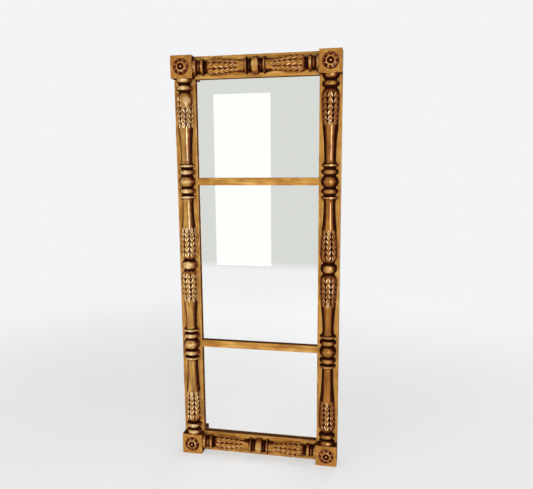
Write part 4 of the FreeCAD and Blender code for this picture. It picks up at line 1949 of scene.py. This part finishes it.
@dataclass
class SlottedScrew:
    """A countersunk wood screw whose head lies flush, with a slot across it."""

    head_radius: float
    shank_radius: float
    length: float
    slot_width: float = 1.1
    slot_depth: float = 1.0
    dome: float = 0.0
    rim: float = 0.45
    slot_edge: float = 0.12
    straight_share: float = 0.8
    head_rings: int = 26
    steps_round: int = 72

    def patch(self, centre: Place, slot_angle: float) -> Patch:
        """The screw as rings about its axis, which runs from the head's face at the centre towards the front.

        The rings go out over the head, down its cone and along the shank to a point. On the head the depth
        is slot_depth inside the slot, and beside it the dome less its share r^2 of the way to the edge, where
        the rim is eased by half its width.

        Args:
            centre: Middle of the head's face.
            slot_angle: Turn of the slot, in radians.

        Returns:
            Points with painted dirt and shade in the slot and round the rim.
        """
        head = np.linspace(0.0, self.head_radius, self.head_rings)
        cone = self.head_radius - self.shank_radius
        radii = np.concatenate([head, [self.shank_radius, self.shank_radius, 0.0]])
        depths = np.concatenate([0 * head, [cone, self.straight_share * self.length, self.length]])
        radius, angle = np.meshgrid(radii, full_turn(self.steps_round), indexing="ij")
        on_head = np.arange(radii.size)[:, None] < head.size
        beside = np.abs(radius * np.sin(angle - slot_angle))
        wall = self.slot_width / 2
        slot = smooth(beside, wall + self.slot_edge, wall - self.slot_edge) * on_head
        edge = smooth(radius, self.head_radius - self.rim, self.head_radius) * on_head
        depth = depths[:, None] + self.slot_depth * slot + self.rim / 2 * edge
        depth = depth - self.dome * (1 - (radius / self.head_radius) ** 2) * on_head
        x = centre[0] + radius * np.cos(angle)
        z = centre[2] + radius * np.sin(angle)
        return Patch(np.stack([x, centre[1] - depth, z], axis=-1), {"glaze_and_shade": np.maximum(slot, edge)})


@dataclass
class Fasteners:
    """The screws that hold the corner blocks, with slots turned as the maker left them."""

    layout: Layout
    iron: Metal
    screw: SlottedScrew = field(default_factory=lambda: SlottedScrew(4.4, 2.2, 38.0))
    first_slot: float = 0.5
    slot_step: float = 1.9

    def build(self) -> None:
        """Make the corner screws."""
        patches = [
            self.screw.patch((x, self.layout.back_y, z), self.first_slot + self.slot_step * number)
            for number, (x, z) in enumerate(self.layout.corners().values())
        ]
        piece = make_piece("corner_screws_slotted", patches)
        settle(piece, FRAME_BODY, "dark_iron", self.iron.material("screw_iron"), "corner_screws")


@dataclass
class HangerRing:
    """A D-ring of drawn wire: a straight bar in the strap's eye and a round bow."""

    bow_radius: float = 14.0
    wire_radius: float = 1.45
    bend_radius: float = 2.6
    bow_samples: int = 181
    bend_samples: int = 31
    steps_along: int = 160
    steps_round: int = 24

    def path(self) -> np.ndarray:
        """Points of the wire's centre line in its own plane, evenly along it.

        The bow is a circle of bow_radius about the bar's middle. Each corner is a small circle that touches
        the bar and the bow from inside, so its centre is bow_radius - bend_radius from the middle.

        Returns:
            Array of points as (across, down), closed.
        """
        bend = self.bend_radius
        beyond = self.bow_radius - bend
        across = math.sqrt(beyond ** 2 - bend ** 2)
        dip = math.asin(bend / beyond)
        swing = np.linspace(dip, math.pi - dip, self.bow_samples)
        bow = self.bow_radius * np.stack([np.cos(swing), np.sin(swing)], axis=-1)
        turn = np.linspace(-math.pi / 2, dip, self.bend_samples)
        first = np.stack([across + bend * np.cos(turn), bend + bend * np.sin(turn)], axis=-1)
        second = first[::-1] * (-1, 1)
        loop = np.concatenate([first, bow[1:-1], second, first[:1]])
        travel = np.append(0.0, np.cumsum(np.linalg.norm(np.diff(loop, axis=0), axis=-1)))
        even = np.linspace(0.0, travel[-1], self.steps_along, endpoint=False)
        return np.stack([np.interp(even, travel, loop[:, axis]) for axis in (0, 1)], axis=-1)

    def patch(self, centre: Place) -> Patch:
        """The wire as a circle carried along the path, square to it.

        Args:
            centre: Middle of the bar.

        Returns:
            Points of the closed ring.
        """
        path = self.path()
        ahead = np.roll(path, -1, axis=0) - np.roll(path, 1, axis=0)
        ahead = ahead / np.linalg.norm(ahead, axis=-1, keepdims=True)
        beside = np.stack([ahead[:, 1], -ahead[:, 0]], axis=-1)
        angle = full_turn(self.steps_round)
        swell = self.wire_radius * np.cos(angle)[None, :, None]
        flat = path[:, None, :] + swell * beside[:, None, :]
        proud = np.broadcast_to(self.wire_radius * np.sin(angle), flat.shape[:2])
        points = np.stack([centre[0] + flat[..., 0], centre[1] + proud, centre[2] - flat[..., 1]], axis=-1)
        return Patch(points, looped=True)


@dataclass
class Hangers:
    """The two strap hangers on the back, with their swinging rings and screws."""

    layout: Layout
    brass: Metal
    ring: HangerRing = field(default_factory=HangerRing)
    screw: SlottedScrew = field(default_factory=lambda: SlottedScrew(3.7, 1.9, 17.0, 0.9, 0.7, 0.35))
    strap_thickness: float = 1.5
    screw_drops: Range = (24.0, 41.0)
    first_slot: float = 0.8
    slot_step: float = 1.4

    def build(self) -> None:
        """Bend the rings, cut the screws and dress the straps."""
        layout = self.layout
        finish = self.brass.material("hanger_brass")
        head_y = layout.back_y + self.strap_thickness
        patches = []
        for side, sign in SIDES.items():
            x = sign * layout.hanger_x
            ring = self.ring.patch((x, layout.hanger_y, layout.hanger_z))
            piece = make_piece(f"{side}_hanger_ring_bent", [ring])
            settle(piece, f"{side}_ring", "hanger_brass", finish, f"{side}_hanger_ring")
            for number, drop in enumerate(self.screw_drops):
                slot_angle = self.first_slot + self.slot_step * number + sign
                patches.append(self.screw.patch((x, head_y, layout.hanger_z - drop), slot_angle))
        piece = make_piece("hanger_screws_slotted", patches)
        settle(piece, FRAME_BODY, "hanger_brass", finish, "hanger_screws")
        dress([f"{side}_hanger_strap" for side in SIDES], finish)


@dataclass(frozen=True)
class Lamp:
    """A soft rectangular studio lamp, in metres and watts."""

    name: str
    place: Place
    aim: Place
    width: float
    height: float
    watts: float
    glossy: bool = True
    diffuse: bool = True

    def build(self) -> None:
        """Hang the lamp and turn it to its aim."""
        data = bpy.data.lights.new(self.name, "AREA")
        data.shape = "RECTANGLE"
        data.size = self.width
        data.size_y = self.height
        data.energy = self.watts
        lamp = bpy.data.objects.new(self.name, data)
        lamp.location = self.place
        lamp.rotation_mode = "QUATERNION"
        lamp.rotation_quaternion = (Vector(self.aim) - Vector(self.place)).to_track_quat("-Z", "Y")
        lamp.visible_camera = False
        lamp.visible_glossy = self.glossy
        lamp.visible_diffuse = self.diffuse
        bpy.context.scene.collection.objects.link(lamp)


@dataclass(frozen=True)
class Studio:
    """A plain pale floor, an even pale surround, soft lamps and the camera, in metres.

    Fields:
        surround, front: Tones of the surround, and of its part in front that only the glass sees.
        front_turn: Slopes of a ray from front to back between which the surround changes.
        ambient: Share of the surround's light that falls on matt surfaces.
        floor_lift: Share of the floor near the part that shines like the surround.
        floor_fade: Distances from the part between which the floor fades to the surround.
        front_fade: Places in front between which the floor takes the front's tone.
        lens, sensor: Focal length and sensor width, in millimetres.
    """

    surround: Colour = (0.895, 0.90, 0.91)
    front: Colour = (0.705, 0.72, 0.69)
    front_turn: Range = (-0.30, 0.30)
    ambient: float = 0.49
    floor_colour: Colour = (0.97, 0.975, 0.98)
    floor_half: float = 9.0
    floor_lift: float = 0.50
    floor_fade: Range = (0.6, 2.4)
    front_fade: Range = (-2.75, -3.25)
    lamps: tuple[Lamp, ...] = (
        Lamp("key", (1.10, -2.60, 0.72), (0.0, 0.0, -0.70), 0.60, 1.5, 40.0),
        Lamp("fill", (-2.00, -2.20, 0.45), (0.0, 0.0, -0.70), 1.0, 1.2, 47.0, glossy=False),
        Lamp("spark", (1.10, -2.55, 0.72), (0.0, 0.0, 0.55), 0.50, 1.3, 62.0, diffuse=False),
        Lamp("rear", (0.9, 2.6, 1.5), (0.0, 0.0, 0.60), 1.2, 1.2, 24.0),
        Lamp("strip", (1.90, -0.85, 0.80), (0.0, 0.0, 0.62), 0.22, 1.4, 5.0),
        Lamp("panel", (-0.745, -3.0, 0.76), (-0.745, 0.0, 0.76), 0.51, 1.52, 0.75),
    )
    eye: Place = (0.3030, -1.4858, 0.9121)
    forward: Place = (-0.18000, 0.97156, -0.15388)
    rightward: Place = (0.98343, 0.18114, -0.00670)
    lens: float = 34.83
    sensor: float = 36.0

    def build(self) -> None:
        """Set up the stage round the part."""
        self.build_world()
        self.build_floor()
        for lamp in self.lamps:
            lamp.build()
        self.build_camera()
        bpy.context.scene.view_settings.view_transform = "Standard"

    @staticmethod
    def seen(paint: Paint) -> Value:
        """1 for rays that show the surround: straight, mirrored or let through.

        Args:
            paint: Paint of the floor or of the world.

        Returns:
            1 or 0.
        """
        names = ("Is Camera Ray", "Is Glossy Ray", "Is Transmission Ray")
        camera, glossy, through = (paint.node("ShaderNodeLightPath", output=name) for name in names)
        return camera.at_least(glossy).at_least(through)

    def build_world(self) -> None:
        """An even surround, a little greyer in front of the mirror, where only the glass sees it."""
        world = bpy.data.worlds.new("studio")
        world.use_nodes = True
        bpy.context.scene.world = world
        paint = Paint(world.node_tree)
        toward = paint.parts(paint.node("ShaderNodeTexCoord", output="Generated"))[1]
        colour = paint.mixed(toward.rise(*self.front_turn), self.front, self.surround)
        seen = self.seen(paint)
        strength = seen + (1.0 - seen) * self.ambient
        shine = paint.node("ShaderNodeBackground", None, {"Color": colour, "Strength": strength})
        paint.node("ShaderNodeOutputWorld", None, {"Surface": shine})

    def build_floor(self) -> None:
        """A flat floor that keeps the part's shadow and fades to the surround further out."""
        half = self.floor_half
        mesh = bpy.data.meshes.new("floor")
        corners = [(-half, -half, 0), (half, -half, 0), (half, half, 0), (-half, half, 0)]
        mesh.from_pydata(corners, [], [(0, 1, 2, 3)])
        floor = bpy.data.objects.new("floor", mesh)
        bpy.context.scene.collection.objects.link(floor)
        material, paint = new_paint("floor_white")
        distance = paint.node("ShaderNodeVectorMath", {"operation": "LENGTH"}, {0: paint.place()}, "Value")
        far = distance.rise(*self.floor_fade)
        faded = (self.floor_lift + far * (1.0 - self.floor_lift)) * self.seen(paint)
        ahead = paint.parts(paint.place())[1].rise(*self.front_fade)
        glow = paint.mixed(ahead, self.surround, self.front)
        matt = paint.node("ShaderNodeBsdfDiffuse", None, {"Color": paint.opaque(self.floor_colour)})
        shine = paint.node("ShaderNodeEmission", None, {"Color": glow})
        both = paint.node("ShaderNodeMixShader", None, {0: faded, 1: matt, 2: shine})
        paint.node("ShaderNodeOutputMaterial", None, {"Surface": both})
        mesh.materials.append(material)

    def build_camera(self) -> None:
        """A camera at the measured eye point, looking along the measured directions."""
        data = bpy.data.cameras.new("camera")
        data.lens = self.lens
        data.sensor_width = self.sensor
        camera = bpy.data.objects.new("camera", data)
        across = Vector(self.rightward).normalized()
        back = -Vector(self.forward).normalized()
        up = back.cross(across).normalized()
        turn = Matrix((across, up, back)).transposed().to_4x4()
        camera.matrix_world = Matrix.Translation(self.eye) @ turn
        bpy.context.scene.collection.objects.link(camera)
        bpy.context.scene.camera = camera


def main() -> None:
    """Build each group of pieces in order, then the stage."""
    logging.basicConfig(level=logging.INFO, format="%(name)s %(message)s")
    layout = Layout.from_frame()
    gilding = Gilding()
    burnished = Gilding(
        bright=(0.40, 0.182, 0.032), middle=(0.25, 0.097, 0.013), deep=(0.14, 0.046, 0.0060),
        gilt=(0.56, 0.33, 0.11), crest=(0.93, 0.72, 0.45),
        mottled=0.36, metal=0.16, roughness=0.31, coat=0.28, coat_roughness=0.11,
    )
    golden = Gilding(
        bright=(0.53, 0.265, 0.050), middle=(0.365, 0.156, 0.023), deep=(0.20, 0.073, 0.0095),
        crest=(0.80, 0.53, 0.25),
        mottled=0.36, metal=0.08, roughness=0.31, coat=0.40, coat_roughness=0.11,
    )
    # A lighter gilding for the left column: its wear, and painted light for the stronger light on it.
    rubbed = Gilding(
        bright=(0.52, 0.300, 0.072), middle=(0.36, 0.183, 0.037), deep=(0.21, 0.092, 0.015),
        gilt=(0.56, 0.36, 0.14),
        mottled=0.34, metal=0.06, roughness=0.34, coat=0.50, coat_roughness=0.11,
    )
    blocks = Gilding(bright=(0.51, 0.270, 0.064), middle=(0.385, 0.172, 0.032), deep=(0.225, 0.083, 0.0125))
    petalled = Gilding(umber_and_shade=(0.160, 0.032, 0.009), patina_and_shade=(0.040, 0.0060, 0.0026), mottled=0.50)
    pine = Pine()
    iron = Metal((0.16, 0.14, 0.13), tarnish=(0.10, 0.045, 0.022), roughness=0.42, dull_range=(0.32, 0.83))
    brass = Metal((0.62, 0.46, 0.19), tarnish=(0.13, 0.080, 0.030), roughness=0.28, dull_range=(0.48, 0.91))
    Boards(BoardFinish(gilding, pine, layout)).build()
    Balusters(layout).build(burnished, rubbed, golden)
    Corners(layout).build(blocks, petalled)
    Glazing(layout, pine, iron).build()
    Fasteners(layout, iron).build()
    Hangers(layout, brass).build()
    Studio().build()


if __name__ == "__main__":
    main()
